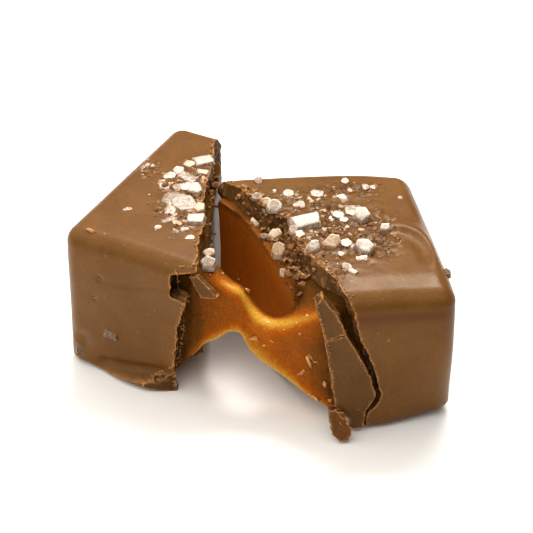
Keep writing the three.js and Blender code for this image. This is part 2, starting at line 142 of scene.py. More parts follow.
def math_node(tree, operation, *values):
    """A Math node; each value is a number or a socket."""
    made = node(tree, "Math", operation=operation)
    for socket, value in zip(made.inputs, values):
        if isinstance(value, bpy.types.NodeSocket):
            tree.links.new(value, socket)
        else:
            socket.default_value = value
    return made.outputs[0]


def new_material(name, **settings):
    """A material whose Principled shader has the given values."""
    material = bpy.data.materials.new(name)
    material.use_nodes = True
    tree = material.node_tree
    return material, tree, feed(tree, tree.nodes["Principled BSDF"], **settings)


# %% Table
TABLE_SIZE = 6.0
bm = bmesh.new()
bmesh.ops.create_grid(bm, x_segments=1, y_segments=1, size=TABLE_SIZE)
table_mesh = bpy.data.meshes.new("table")
bm.to_mesh(table_mesh)
bm.free()
table = bpy.data.objects.new("table", table_mesh)
bpy.context.collection.objects.link(table)
white, *_ = new_material("white_table", Base_Color=(0.93, 0.895, 0.83, 1), Roughness=0.7)
table.data.materials.append(white)
print("table:", 2 * TABLE_SIZE, "m wide")

# %% A white room, brighter above and towards the left
ROOM_LOW, ROOM_HIGH, ROOM_LEAN = 0.14, 1.95, -0.44
BRIGHTENS_FROM = 0.25
world = bpy.data.worlds.new("white_room")
bpy.context.scene.world = world
world.use_nodes = True
room = world.node_tree
parts = node(room, "SeparateXYZ", Vector=node(room, "TexCoord").outputs["Generated"])
leaning = math_node(room, "MULTIPLY_ADD", parts.outputs["X"], ROOM_LEAN, parts.outputs["Z"])
upward = node(room, "MapRange", interpolation_type="SMOOTHSTEP", Value=leaning, From_Min=BRIGHTENS_FROM,
              To_Min=ROOM_LOW, To_Max=ROOM_HIGH)
feed(room, room.nodes["Background"], Color=(1, 1, 1, 1), Strength=upward.outputs["Result"])

# %% Lamps: name, place and size in metres, and power in watts
LAMPS = [
    ("overhead", (0.01, 0.085, 0.19), (0.09, 0.035), 0.2),
    ("edge", (0.035, 0.11, 0.2), (0.12, 0.03), 0.28),
]
LIT_HEIGHT = 0.006
for name, place, size, power in LAMPS:
    data = bpy.data.lights.new(name, "AREA")
    data.shape = "RECTANGLE"
    data.size, data.size_y = size
    data.energy = power
    light = bpy.data.objects.new(name, data)
    bpy.context.collection.objects.link(light)
    light.location = place
    light.rotation_euler = (Vector((0, 0, LIT_HEIGHT)) - Vector(place)).to_track_quat("-Z", "Y").to_euler()
print("lamps:", [name for name, *_ in LAMPS])

# %% [markdown]
# ## Small helpers
#
# Broken edges follow a short list of points, read off by distance along the block, and
# everything organic gets its unevenness from noise. These helpers are used by every
# piece, so they come first.


# %% Reading lists, easing and noise
def lerp(a, b, part):
    return a + (b - a) * part


def between(start, end, part):
    """A point part of the way from one to another."""
    return tuple(lerp(a, b, part) for a, b in zip(start, end))


def clamp(x, low=0.0, high=1.0):
    return max(low, min(high, x))


def smoothstep(x, low, high):
    part = clamp((x - low) / (high - low))
    return part * part * (3 - 2 * part)


def profile(pairs, at):
    """A value off a list of (position, value) pairs, straight between them."""
    if at <= pairs[0][0]:
        return pairs[0][1]
    for (start, before), (end, value) in zip(pairs, pairs[1:]):
        if at <= end:
            return lerp(before, value, (at - start) / (end - start))
    return pairs[-1][1]


def rough(x, y, z, size, seed=0.0):
    """Smooth noise from about -1 to 1 whose bumps are about size apart."""
    return noise.noise(Vector((x / size + seed, y / size - seed, z / size + 0.37 * seed)))


def hump(x, y, at, width):
    """1 at a place, falling to 0 over about its width."""
    return math.exp(-(((x - at[0]) / width[0]) ** 2) - ((y - at[1]) / width[1]) ** 2)


# %% From bmesh to a piece of the candy
SHARP_ANGLE = 38


def piece(name, bm, matrix, materials):
    """A bmesh in maker's millimetres becomes a named object, placed in the frame."""
    bmesh.ops.transform(bm, matrix=matrix, verts=bm.verts)
    bmesh.ops.recalc_face_normals(bm, faces=bm.faces)
    mesh = bpy.data.meshes.new(name)
    bm.to_mesh(mesh)
    bm.free()
    obj = bpy.data.objects.new(name, mesh)
    bpy.context.collection.objects.link(obj)
    for material in materials:
        mesh.materials.append(material)
    mesh.shade_smooth()
    return obj


def finish_shading(obj):
    """Smooth faces, and sharp edges where they meet at more than the angle."""
    obj.data.shade_smooth()
    obj.data.set_sharp_from_angle(angle=math.radians(SHARP_ANGLE))


# %% [markdown]
# ## The caramel
#
# Caramel that is pulled apart stretches into a strand, thick where it leaves each half
# and thin between them. Such a form is a loft: upright slices, each a rounded rectangle,
# follow one another from the left half through the strand into the right half. A grid
# with one row for each slice is the simplest way to make it: every grid point is moved
# to its place, the seam is merged and the two ends are filled.


# %% The slices that the caramel runs through
def plan_of(corner, turn, start):
    """From u and v to a place on the table, in the maker's millimetres."""
    cos, sin = math.cos(math.radians(turn)), math.sin(math.radians(turn))
    x, y = corner
    return lambda u, v: (x + (u - start) * cos - v * sin, y + (u - start) * sin + v * cos)


on_left = plan_of(LEFT_CORNER, LEFT_TURN, 0)
on_right = plan_of(RIGHT_CORNER, RIGHT_TURN, LENGTH)
NEAR = WALL
FAR = DEPTH - WALL
TOP = HEIGHT - WALL

# Front edge, back edge, underside and top at those edges, scoop of the back, steps.
STATIONS = [
    (on_left(1.7, NEAR), on_left(1.7, FAR), (FLOOR, FLOOR), (TOP, TOP), 0, 3),
    (on_left(8.5, NEAR), on_left(4.2, FAR), (FLOOR, FLOOR), (TOP, TOP), 0, 2),
    (on_left(11.3, NEAR), (-4.6, 7.2), (1.5, FLOOR), (TOP, TOP), 0, 2),
    (on_left(12.1, 1.7), (-4.75, 3.6), (2.2, 1.2), (13.9, TOP), 0, 3),
    (on_left(12.9, 1.8), (-5.1, -0.6), (3.4, 1.3), (13.8, 13.9), 0.1, 3),
    (on_left(13.6, 1.9), (-5.45, -4.6), (4.2, 2.0), (13.7, 13.8), 0.1, 3),
    ((-6.2, -11.8), (-5.2, -8.0), (4.9, 3.6), (13.4, 13.5), 0.1, 3),
    ((-5.2, -12.1), (-4.0, -9.9), (5.7, 5.0), (12.9, 13.0), 0, 2),
    ((-4.0, -12.7), (-3.1, -10.9), (6.9, 6.8), (12.5, 12.6), 0, 2),
    ((-2.9, -13.2), (-2.1, -11.4), (7.3, 7.4), (12.2, 12.2), 0, 2),
    ((-2.3, -13.5), (-1.5, -11.8), (6.8, 6.9), (11.4, 11.5), 0, 2),
    ((-1.7, -13.8), (-0.9, -12.1), (5.7, 5.8), (10.4, 10.6), 0, 2),
    ((-0.8, -14.3), (0.0, -12.5), (4.9, 5.0), (9.7, 9.9), 0, 2),
    ((0.5, -14.9), (1.1, -13.0), (4.2, 4.3), (9.5, 9.8), 0, 2),
    ((2.2, -15.8), (2.1, -13.6), (3.4, 3.3), (10.1, 10.9), 0, 2),
    ((4.1, -16.8), (2.8, -14.0), (2.5, 2.3), (11.4, 12.4), 0, 2),
    (on_right(12.2, 1.7), (2.6, -13.1), (1.8, 1.5), (12.7, 13.2), 0.2, 2),
    (on_right(13.0, NEAR), (1.9, -11.9), (1.4, 1.2), (13.5, 13.6), 0.7, 3),
    (on_right(13.8, NEAR), (0.6, -9.6), (1.2, 1.2), (13.8, 13.8), 1, 3),
    (on_right(14.7, NEAR), (-0.8, -6.6), (1.2, 1.2), (TOP, 13.9), 1, 3),
    (on_right(15.6, NEAR), (-2.5, -2.8), (1.2, 1.2), (TOP, TOP), 0.8, 3),
    (on_right(16.5, NEAR), (-4.55, 0.9), (1.3, 1.3), (TOP, TOP), 0.3, 2),
    (on_right(18.5, NEAR), on_right(13.0, 19.2), (1.4, 1.4), (TOP, TOP), 0, 3),
    (on_right(LENGTH - 1.9, 2.8), on_right(LENGTH - 3.3, 18.6), (2.4, 1.6), (TOP, TOP), 0, 0),
]
STRAND = (6, 17)
print("slices given:", len(STATIONS))


# %% One slice: a rounded rectangle, blended between two of the given ones
CORE_RADIUS = 1.0
SCOOP = 1.1
SIDES = {"bottom": 26, "back": 46, "top": 30, "front": 36}
CORNER = 8
CORNERS = {"bottom": (1, 0, -90), "back": (1, 1, 0), "top": (0, 1, 90), "front": (0, 0, 180)}
RING = sum(SIDES.values()) + CORNER * len(CORNERS)
print("points round each slice:", RING)


def blend(index, part):
    """The numbers of a slice part of the way from one station to the next, on a smooth curve."""
    def numbers(i):
        front, back, low, top, scoop, _ = STATIONS[int(clamp(i, 0, len(STATIONS) - 1))]
        return (*front, *back, *low, *top, scoop)

    rows = [numbers(index + i) for i in (-1, 0, 1, 2)]
    p = part
    weights = (-p / 2 + p ** 2 - p ** 3 / 2, 1 - 2.5 * p ** 2 + 1.5 * p ** 3,
               p / 2 + 2 * p ** 2 - 1.5 * p ** 3, -(p ** 2) / 2 + p ** 3 / 2)
    return [sum(weight * row[k] for weight, row in zip(weights, rows)) for k in range(9)]


def ring_outline(width, height, radius):
    """Points round a slice, the same number on each side of every slice."""
    points = []
    far, high = width - radius, height - radius
    ends = {"bottom": ((radius, 0), (far, 0)), "back": ((width, radius), (width, high)),
            "top": ((far, height), (radius, height)), "front": ((0, high), (0, radius))}
    for side, count in SIDES.items():
        points += [between(*ends[side], i / count) for i in range(count)]
        across, up, turn = CORNERS[side]
        middle = (lerp(radius, far, across), lerp(radius, high, up))
        for i in range(CORNER):
            angle = math.radians(turn + 90 * i / CORNER)
            points.append((middle[0] + radius * math.cos(angle), middle[1] + radius * math.sin(angle)))
    return points


# %% The strand's roll, its web, and the streaks of pulled caramel
# Places and widths are shares of a slice's height; the bulge and the hollow are in millimetres.
ROLL_PLACE, ROLL_WIDTH, ROLL_BULGE = 0.86, 0.2, 0.42
WEB_PLACE, WEB_WIDTH, WEB_HOLLOW = 0.42, 0.25, 0.4
STREAK = 0.07


def strand_share(station):
    """1 on the strand between the halves, easing to 0 inside them."""
    start, end = STRAND
    return smoothstep(station, start - 0.5, start + 2.5) * (1 - smoothstep(station, end - 1.5, end + 1))


def roll_shape(up):
    """The strand's top edge is a thick roll, and the web below it is thinner."""
    roll = math.exp(-(((up - ROLL_PLACE) / ROLL_WIDTH) ** 2))
    web = math.exp(-(((up - WEB_PLACE) / WEB_WIDTH) ** 2))
    return ROLL_BULGE * roll - WEB_HOLLOW * web


# %% Where the caramel glows, and where light comes through it
# How much it glows along its front, by station; its rims glow more.
GLOW_ALONG = [(3, 0.05), (5, 0.15), (6.5, 0.3), (8.5, 0.37), (10, 0.4), (11.5, 0.48), (13, 0.46),
              (14.3, 0.38), (15.5, 0.27), (16.5, 0.14), (17.5, 0.05)]
RIM_GLOW, RIM_REACH = 0.54, 0.8
# The roll glows, less towards its back, and a painted highlight runs along a line over its
# top. The line's place is how far it lies below the front edge, so that less than 0 is on the top.
ROLL_GLOW, ROLL_REACH, ROLL_BACK = 0.12, 1.2, 0.3
HIGHLIGHT_GLOW, LINE_PLACE, LINE_WIDTH = 0.2, -0.75, 0.5
# Painted light on the cut face behind the strand, which lies in shade: on the face, on the shelf at its top
# and along its rim. The left half's cut face glows least.
FACE_GLOW, SHELF_GLOW, FACE_RIM_GLOW, LEFT_GLOW = 0.22, 0.15, 0.33, 0.05
# The share of light that comes through the face from behind, by station.
LIT_ALONG = [(15, 0), (16.5, 0.75), (18, 1), (19, 0.9), (20, 0.7), (21, 0.45), (22, 0.25)]


def glow_at(station, across, up, width, height):
    """How much a place on a slice glows; across and up are shares of its width and height."""
    share = strand_share(station)
    rim = RIM_GLOW * math.exp(-up * height / RIM_REACH) * smoothstep(station, 3, 5)
    past_line = (1 - up) * height - across * width - LINE_PLACE
    # A painted highlight along a line over the roll.
    line = HIGHLIGHT_GLOW * math.exp(-((past_line / LINE_WIDTH) ** 2))
    body = ROLL_GLOW * math.exp(-((past_line / ROLL_REACH) ** 2))
    roll = share * (body + line) * (1 - smoothstep(across, 0.6, 0.85))
    # In the notch the front's glow is taken away: painted shade in the recess.
    notch_shade = (1 - smoothstep(station, 4.2, 5.2)) * smoothstep(up, 0.68, 0.8)
    front = (profile(GLOW_ALONG, station) * (1 - notch_shade) + rim + roll
             - ROLL_BACK * share * smoothstep(across, 0.5, 0.95))
    on_top, at_rim = smoothstep(up, 0.97, 1), smoothstep(across, 0.84, 0.96)
    face = lerp(FACE_GLOW, lerp(SHELF_GLOW, FACE_RIM_GLOW, at_rim), on_top)
    of_face = smoothstep(station, STRAND[1] - 2, STRAND[1]) * smoothstep(across, 0.3, 0.7)
    of_left = (1 - smoothstep(station, 5, 7)) * smoothstep(across, 0.2, 0.6)
    return clamp(lerp(lerp(front, face, of_face), LEFT_GLOW, of_left))


def lit_at(station, across, up):
    at_back = smoothstep(across, 0.75, 0.95)
    return profile(LIT_ALONG, station) * at_back * (1 - smoothstep(up, 0.93, 0.99))


print("glow of the front:", [round(profile(GLOW_ALONG, station), 2) for station in range(3, 18, 2)])


# %% The points round a slice
def slice_points(station, grow):
    """Each point's place in millimetres, its glow and its light; grow sets the slice off outwards."""
    index = min(int(station), len(STATIONS) - 2)
    numbers = blend(index, station - index)
    front_x, front_y, back_x, back_y, low_front, low_back, top_front, top_back, scoop = numbers
    width = math.hypot(back_x - front_x, back_y - front_y)
    step = ((back_x - front_x) / width, (back_y - front_y) / width)
    height = min(top_front - low_front, top_back - low_back)
    radius = min(CORE_RADIUS, width * 0.42, height * 0.4)
    share = strand_share(station)
    points = []
    for x, z in ring_outline(width, height, radius):
        across, up = x / width, z / height
        sag = scoop * SCOOP * math.sin(math.pi * clamp(up)) * across ** 2
        swell = share * roll_shape(up) * (1 - across)
        streak = STREAK * rough(station * 0.8, up * 9, across * 2, 1.0, 5) * smoothstep(station, 4, 6)
        along = x - sag - swell + streak * (1 - 2 * across) + grow * (2 * across - 1)
        low, top = lerp(low_front, low_back, across), lerp(top_front, top_back, across)
        points.append((front_x + step[0] * along, front_y + step[1] * along,
                       lerp(low, top, up) + grow * (2 * up - 1),
                       glow_at(station, across, up, width, height), lit_at(station, across, up)))
    return points


# %% The loft
def caramel_loft(fineness, grow=0.0):
    """A closed bmesh of the caramel, with its glow and its light kept on each vertex."""
    places = []
    for i, (*_, steps) in enumerate(STATIONS):
        count = steps * fineness
        places += [i + j / count for j in range(count)]
    places.append(len(STATIONS) - 1.0)
    bm = bmesh.new()
    glow, lit = [bm.verts.layers.float.new(name) for name in ("glow", "lit")]
    bmesh.ops.create_grid(bm, x_segments=len(places) - 1, y_segments=RING, size=1)
    rings = [slice_points(place, grow) for place in places]
    last = len(places) - 1
    for vert in bm.verts:
        i = round((vert.co.x + 1) / 2 * last)
        j = round((vert.co.y + 1) / 2 * RING) % RING
        *vert.co, vert[glow], vert[lit] = rings[i][j]
        if i in (0, last):
            vert.co.x += grow * (1 if i else -1)
    bmesh.ops.remove_doubles(bm, verts=bm.verts, dist=1e-4)
    bmesh.ops.holes_fill(bm, edges=[e for e in bm.edges if e.is_boundary])
    bmesh.ops.recalc_face_normals(bm, faces=bm.faces)
    return bm


# %% [markdown]
# ## The chocolate shells
#
# Chocolate snaps: its outside is smooth, with rounded edges where it flowed over the
# block, and its broken edges are rough. So each shell is made the way it came about. A
# rounded block is cut off along a rough break, and the caramel's room is cut out of it.
# The break is a second material slot on the cutting tool, and the Boolean carries that
# slot over to the faces that it leaves.

# %% A rounded block on an even grid
BLOCK_STEP = 0.2
# The left half flares out below a lip, whose height is given along u.
LIP_TOP = [(1, 0.2), (5, 0.45), (8, 0.75), (11, 1.35)]
FOOT_FLARE, FOOT_START, FOOT_FULL, ABOVE_LIP = 1.0, 1, 8, 0.4
# A painted highlight along the lip's ridge: how strong it is, and its width in millimetres.
RIDGE_HIGHLIGHT, RIDGE_WIDTH = 0.5, 0.15
# The right half is less deep, bows out at its back, and slants at its end.
RIGHT_DEPTH, RIGHT_TAPER, RIGHT_BOW, BOW_LENGTH = 20.6, 0.06, 0.5, 20
END_SLANT, END_REACH, CORNER_LIFT, CORNER_INSET, CORNER_REACH = 0.085, 8, 0.6, 1.2, 12
# How far each half's walls wave, and how far apart the waves are.
LEFT_WAVES, RIGHT_WAVES = (0.3, 9), (0.25, 8)


def box_grid(low, high, step):
    """A box whose six faces are even grids."""
    bm = bmesh.new()
    bmesh.ops.create_cube(bm, size=1)
    size = [b - a for a, b in zip(low, high)]
    bmesh.ops.translate(bm, verts=bm.verts, vec=(0.5, 0.5, 0.5))
    bmesh.ops.scale(bm, verts=bm.verts, vec=size)
    bmesh.ops.translate(bm, verts=bm.verts, vec=low)
    for axis in range(3):
        along = [e for e in bm.edges if abs((e.verts[1].co - e.verts[0].co)[axis]) > 1e-6]
        cuts = round(size[axis] / step) - 1
        bmesh.ops.subdivide_edges(bm, edges=along, cuts=cuts, use_grid_fill=True)
    return bm


def rounded(point):
    """Draws a point near the block's edges in to their radius."""
    radii = (SIDE_RADIUS, SIDE_RADIUS, TOP_RADIUS if point.z > HEIGHT / 2 else BOTTOM_RADIUS)
    flat = [clamp(x, r, size - r) for x, r, size in zip(point, radii, (LENGTH, DEPTH, HEIGHT))]
    past = [(x - f) / r for x, f, r in zip(point, flat, radii)]
    long = math.sqrt(sum(p * p for p in past))
    if long == 0:
        return Vector(point)
    reach = max(abs(p) for p in past) / long
    return Vector([f + p * reach * r for f, p, r in zip(flat, past, radii)])


def crown_at(u, v):
    """The tops are a little higher in the middle."""
    across = clamp(1 - (2 * u / LENGTH - 1) ** 2)
    along = clamp(1 - (2 * v / DEPTH - 1) ** 2)
    return CROWN * across * along


def shape_left(p):
    """The left half's own form: its flared foot, with a fold above it, and its waves."""
    p.z += crown_at(p.x, p.y) * smoothstep(p.z / HEIGHT, 0.6, 1)
    lip_top = profile(LIP_TOP, p.x)
    low = 1 - smoothstep(p.z, lip_top - 0.05, lip_top + 0.6)
    front = 1 - smoothstep(p.y, 0, 4)
    above_lip = ABOVE_LIP * math.exp(-(((p.z - lip_top - 1.0) / 0.5) ** 2))
    p.y -= front * smoothstep(p.x, FOOT_START, FOOT_FULL) * (FOOT_FLARE * low - above_lip)
    wave, spacing = LEFT_WAVES
    p.y += wave * rough(p.x, p.y, p.z, spacing, 7.3) * (1 - low)
    return p


def shape_right(p):
    """The right half's own form: its bowed back, its slanted end and the lifted corner there."""
    from_end = LENGTH - p.x
    height = p.z / HEIGHT
    bow = RIGHT_BOW * math.sin(math.pi * clamp(from_end, 0, BOW_LENGTH) / BOW_LENGTH)
    back_edge = RIGHT_DEPTH + RIGHT_TAPER * from_end + bow
    p.z += crown_at(p.x, p.y) * smoothstep(height, 0.6, 1)
    p.y *= back_edge / DEPTH
    near_end = 1 - smoothstep(from_end, 0, END_REACH)
    p.x -= END_SLANT * p.y * near_end
    end_corner = near_end * (1 - smoothstep(p.y, 0, CORNER_REACH))
    p.z += CORNER_LIFT * end_corner * (1 - smoothstep(height, 0, 0.45))
    p.y += CORNER_INSET * end_corner * (1 - smoothstep(height, 0, 0.6))
    wave, spacing = RIGHT_WAVES
    p.y += wave * rough(p.x, p.y, p.z, spacing, 7.3) * height
    return p


print("front corner of the right half:", [round(x, 2) for x in shape_right(Vector((LENGTH, 0, 0)))])


# %% The breaks, as distances along the block
# Top gives u for each v, along the broken edge of the top, and front gives u for each w, up
# the broken edge of the front wall. Lean, back_short, floor_bite and foot_slant move the
# break below the top, low down at the back, at the floor and in front of the foot. Hollows
# are places where more broke out, as (middle, radii) in u, v and w.
LEFT_BREAK = {
    "side": 1,
    "top": [(0, 14.9), (2.9, 13.5), (5.6, 12.2), (7.3, 11.7), (8.2, 10.2), (10.5, 9.8),
            (13.7, 8.3), (16.3, 7.4), (20.6, 5.2), (22, 5.2)],
    "front": [(0, 12.5), (0.9, 12.4), (2.1, 12.3), (3.6, 12.3), (7.4, 12.6), (9.5, 13.1),
              (11.6, 13.8), (11.7, 12.0), (14.4, 12.2), (15.2, 14.9)],
    "lean": 0, "back_short": 0, "floor_bite": -3, "foot_slant": 1.85,
    "hollows": [((9.3, 11.1, 15.3), (1.0, 0.7, 0.55)), ((12.9, 1.3, 12.75), (0.9, 0.9, 0.75)),
                ((10.7, -0.25, 1.8), (0.65, 0.55, 0.75))],
}
RIGHT_BREAK = {
    "side": -1,
    "top": [(0, 14.1), (1.7, 13.6), (3.1, 13.3), (5.1, 12.1), (7.1, 11.1), (8.4, 10.5),
            (10.5, 9.8), (13.5, 9.8), (14.6, 8.3), (15.8, 7.6), (17.2, 6.8), (19.3, 5.7),
            (20.3, 4.7), (22, 4.3)],
    "front": [(0, 16.1), (1.2, 16), (2.1, 16.2), (3.4, 17.2), (4.1, 17.4), (5.3, 17.1),
              (7.1, 16.6), (8.9, 16.1), (11.3, 15.1), (13.8, 14.6), (15.6, 14.1)],
    "lean": -0.5, "back_short": 2, "floor_bite": 0, "foot_slant": 0,
    "hollows": [((9.0, 16.6, 14.2), (1.5, 1.8, 0.75)), ((10.6, 14.4, 14.3), (0.9, 0.9, 0.6))],
}
# Grain of the break, as (size of the bumps, their height), from lumps to crumbs.
BREAK_GRAIN = [(1.1, 0.2), (0.5, 0.12), (0.24, 0.08)]
BREAK_STEP = 0.15
# The rough sheet spans this much in v and w, which is past the block on all sides.
SHEET_LOW, SHEET_HIGH = (-3.0, -1.0), (DEPTH + 3, HEIGHT + 2.5)


def break_at(v, w, part):
    """How far along the block the shell reaches, at a place on its break."""
    down = HEIGHT - w
    near_front = 1 - smoothstep(v, 1.2, 4.5)
    near_floor = 1 - smoothstep(w, 1.3, 2.6)
    behind_wall = smoothstep(v, 1.2, 2.4) * (1 - smoothstep(v, 5, 8))
    grain = sum(height * rough(v, w, part["side"], size, 3.1) for size, height in BREAK_GRAIN)
    return (profile(part["top"], v)
            + (profile(part["front"], w) - profile(part["front"], HEIGHT)) * near_front
            + part["lean"] * smoothstep(down, 0, WALL) * smoothstep(v, 2, 6)
            + part["back_short"] * smoothstep(down, 2.1, 3.2) * smoothstep(v, 16.5, 19)
            + part["floor_bite"] * near_floor * behind_wall
            + part["foot_slant"] * min(max(v, -1) - 0.75, 0) * (1 - smoothstep(w, 0.6, 4.4))
            + grain)


def past_break(part):
    """Everything past the break: a rough sheet, pushed out into a solid."""
    counts = [round((b - a) / BREAK_STEP) for a, b in zip(SHEET_LOW, SHEET_HIGH)]
    bm = bmesh.new()
    bmesh.ops.create_grid(bm, x_segments=counts[0], y_segments=counts[1], size=1)
    for vert in bm.verts:
        v, w = [lerp(low, high, (x + 1) / 2) for low, high, x in zip(SHEET_LOW, SHEET_HIGH, vert.co)]
        vert.co = (break_at(v, w, part), v, w)
    pushed = bmesh.ops.extrude_face_region(bm, geom=list(bm.faces))
    for vert in [g for g in pushed["geom"] if isinstance(g, bmesh.types.BMVert)]:
        vert.co.x = LENGTH / 2 + part["side"] * LENGTH
    bmesh.ops.recalc_face_normals(bm, faces=bm.faces)
    return bm


for part in (LEFT_BREAK, RIGHT_BREAK):
    print("break at the front, top and foot: u", [round(break_at(0, w, part), 2) for w in (HEIGHT, 0)])


# %% Where more broke out beside the break
def hollow(middle, radii, seed):
    """A lumpy ball to cut away."""
    bm = bmesh.new()
    bmesh.ops.create_icosphere(bm, subdivisions=4, radius=1)
    for vert in bm.verts:
        swell = 1 + 0.3 * rough(*vert.co, 0.8, seed) + 0.1 * rough(*vert.co, 0.25, seed)
        vert.co = [m + c * radius * swell for m, c, radius in zip(middle, vert.co, radii)]
    return bm


# %% [markdown]
# ## Finishes
#
# Milk chocolate is never one brown. It has a slow mottle where it set faster or slower,
# a fine grain, and lighter edges, because light shines through where it is thin; here that light
# is painted. Four effects are shared by several finishes, so each is a shader node group, built
# once: the mottle, the fine grain, the dark flakes beside the salt with painted glints and painted
# shade, and the painted light on the rim of an edge. The edge itself is measured on each mesh, as
# how sharply it bends outwards, and stored as an attribute. So are the places where flakes lie and
# where shade is painted.

# %% More helpers for node trees
def new_group(name, inputs, outputs):
    """A shader node group; inputs have default values, and outputs are colours or plain values."""
    tree = bpy.data.node_groups.new(name, "ShaderNodeTree")
    for label, value in inputs.items():
        kind = "NodeSocketColor" if isinstance(value, tuple) else "NodeSocketFloat"
        tree.interface.new_socket(label, in_out="INPUT", socket_type=kind).default_value = value
    for label in outputs:
        kind = "NodeSocketColor" if label == "Color" else "NodeSocketFloat"
        tree.interface.new_socket(label, in_out="OUTPUT", socket_type=kind)
    return tree, tree.nodes.new("NodeGroupInput").outputs, tree.nodes.new("NodeGroupOutput")


def object_place(tree):
    return node(tree, "TexCoord").outputs["Object"]


def attribute(tree, name):
    return node(tree, "Attribute", attribute_name=name).outputs["Fac"]


def mix_color(tree, factor, a, b, blend_type="MIX"):
    return node(tree, "MixRGB", blend_type=blend_type, Fac=factor, Color1=a, Color2=b).outputs["Color"]


def remap(tree, value, low, high, to_low=0.0, to_high=1.0):
    made = node(tree, "MapRange", Value=value, From_Min=low, From_Max=high, To_Min=to_low, To_Max=to_high)
    return made.outputs["Result"]


def noise_at(tree, where, per_metre, detail=4.0, roughness=0.55, distortion=0.0):
    made = node(tree, "TexNoise", Vector=where, Scale=per_metre, Detail=detail, Roughness=roughness,
                Distortion=distortion)
    return made.outputs["Fac"]


# %% Group: slow mottle between two colours
tree, given, result = new_group(
    "mottle", {"Dark": (0.1, 0.05, 0.02, 1), "Light": (0.3, 0.15, 0.05, 1), "Scale": 300.0, "Contrast": 0.12},
    ["Color", "Mask"])
clouds = noise_at(tree, object_place(tree), given["Scale"], 5.0, 0.6, 0.4)
low = math_node(tree, "SUBTRACT", 0.5, given["Contrast"])
high = math_node(tree, "ADD", 0.5, given["Contrast"])
mask = remap(tree, clouds, low, high)
feed(tree, result, Color=mix_color(tree, mask, given["Dark"], given["Light"]), Mask=mask)
mottle_group = tree

# %% Group: fine grain, as a darkening and a height
SPECK_SCALE, SPECK_COLOR = 0.32, (0.42, 0.27, 0.14, 1)
tree, given, result = new_group(
    "grain", {"Color": (0.3, 0.15, 0.05, 1), "Scale": 6000.0, "Strength": 0.15, "Specks": 0.5},
    ["Color", "Height"])
place = object_place(tree)
fine = noise_at(tree, place, given["Scale"], 3.0, 0.7)
shift = math_node(tree, "MULTIPLY", math_node(tree, "SUBTRACT", fine, 0.5), given["Strength"])
level = math_node(tree, "ADD", 1.0, math_node(tree, "MULTIPLY", shift, 4.0))
grey = node(tree, "CombineXYZ", X=level, Y=level, Z=level).outputs["Vector"]
grained = mix_color(tree, 1.0, given["Color"], grey, "MULTIPLY")
sparse = noise_at(tree, place, math_node(tree, "MULTIPLY", given["Scale"], SPECK_SCALE), 1.0)
speck = math_node(tree, "MULTIPLY", remap(tree, sparse, 0.74, 0.8), given["Specks"])
specked = mix_color(tree, speck, grained, SPECK_COLOR)
feed(tree, result, Color=specked, Height=math_node(tree, "ADD", fine, speck))
grain_group = tree

# %% Group: dark flakes and painted glints round the salt, and painted shade in cracks, below the right front edge and on the front of the foot
FLAKES_PER_METRE, PATCHES_PER_METRE, GLINT_SHARE = 2300.0, 900.0, 0.7
tree, given, result = new_group(
    "flakes_and_glints", {"Color": (0.3, 0.15, 0.05, 1), "Flake": (0.045, 0.013, 0.002, 1),
              "Glint": (0.70, 0.50, 0.32, 1), "Shade": (0.095, 0.030, 0.004, 1)},
    ["Color", "Mask", "Height"])
place = object_place(tree)
flakes = node(tree, "TexVoronoi", Vector=place, Scale=FLAKES_PER_METRE)
chance = node(tree, "SeparateColor", Color=flakes.outputs["Color"]).outputs
strong = remap(tree, attribute(tree, "flakes_and_glints"), 0.15, 0.75)
patches = remap(tree, noise_at(tree, place, PATCHES_PER_METRE, 4.0, 0.7, 1.0), 0.42, 0.54)
dark_flakes = math_node(tree, "MULTIPLY", remap(tree, chance["Red"], 0.25, 0.75), strong)
mask = math_node(tree, "MULTIPLY", dark_flakes, patches)
flecked = mix_color(tree, mask, given["Color"], given["Flake"])
# Painted glints on a few of the flakes round the salt.
painted_glints = math_node(tree, "MULTIPLY", remap(tree, chance["Green"], 0.9, 0.93), strong)
glinting = mix_color(tree, math_node(tree, "MULTIPLY", painted_glints, GLINT_SHARE), flecked, given["Glint"])
shaded = mix_color(tree, attribute(tree, "shade"), glinting, given["Shade"])
feed(tree, result, Color=shaded, Mask=mask, Height=math_node(tree, "MULTIPLY", chance["Blue"], strong))
flake_glint_shade_group = tree

# %% Group: a lighter rim on a thin or broken edge: painted light on chocolate, frost on salt
RIM_PER_METRE = 2600.0
tree, given, result = new_group(
    "rim", {"Color": (0.3, 0.15, 0.05, 1), "Rim": (0.62, 0.30, 0.10, 1), "Amount": 1.0}, ["Color", "Mask"])
broken_up = remap(tree, noise_at(tree, object_place(tree), RIM_PER_METRE, 3.0, 0.6), 0.36, 0.56, 0.3, 1.0)
edge = math_node(tree, "MULTIPLY", attribute(tree, "edge"), broken_up)
mask = math_node(tree, "MULTIPLY", edge, given["Amount"])
feed(tree, result, Color=mix_color(tree, mask, given["Color"], given["Rim"]), Mask=mask)
rim_group = tree
print("groups:", [group.name for group in bpy.data.node_groups])


# %% A material that uses the groups
def use(tree, group, **values):
    """Places a group in a material with its own values."""
    made = tree.nodes.new("ShaderNodeGroup")
    made.node_tree = group
    return feed(tree, made, **values).outputs


def relief(tree, heights):
    """The normal of (height, depth in millimetres) pairs, added up."""
    total = None
    for height, depth in heights:
        part = math_node(tree, "MULTIPLY", height, depth * MM)
        total = part if total is None else math_node(tree, "ADD", total, part)
    return node(tree, "Bump", Distance=1.0, Strength=1.0, Height=total).outputs["Normal"]


def uneven(tree, pattern, smooth, dull, mask, at_edges):
    """A roughness that follows a pattern between (value, roughness) pairs, and rises at the edges."""
    (low, low_roughness), (high, high_roughness) = smooth, dull
    return math_node(tree, "ADD", remap(tree, pattern, low, high, low_roughness, high_roughness),
                     math_node(tree, "MULTIPLY", mask, at_edges))


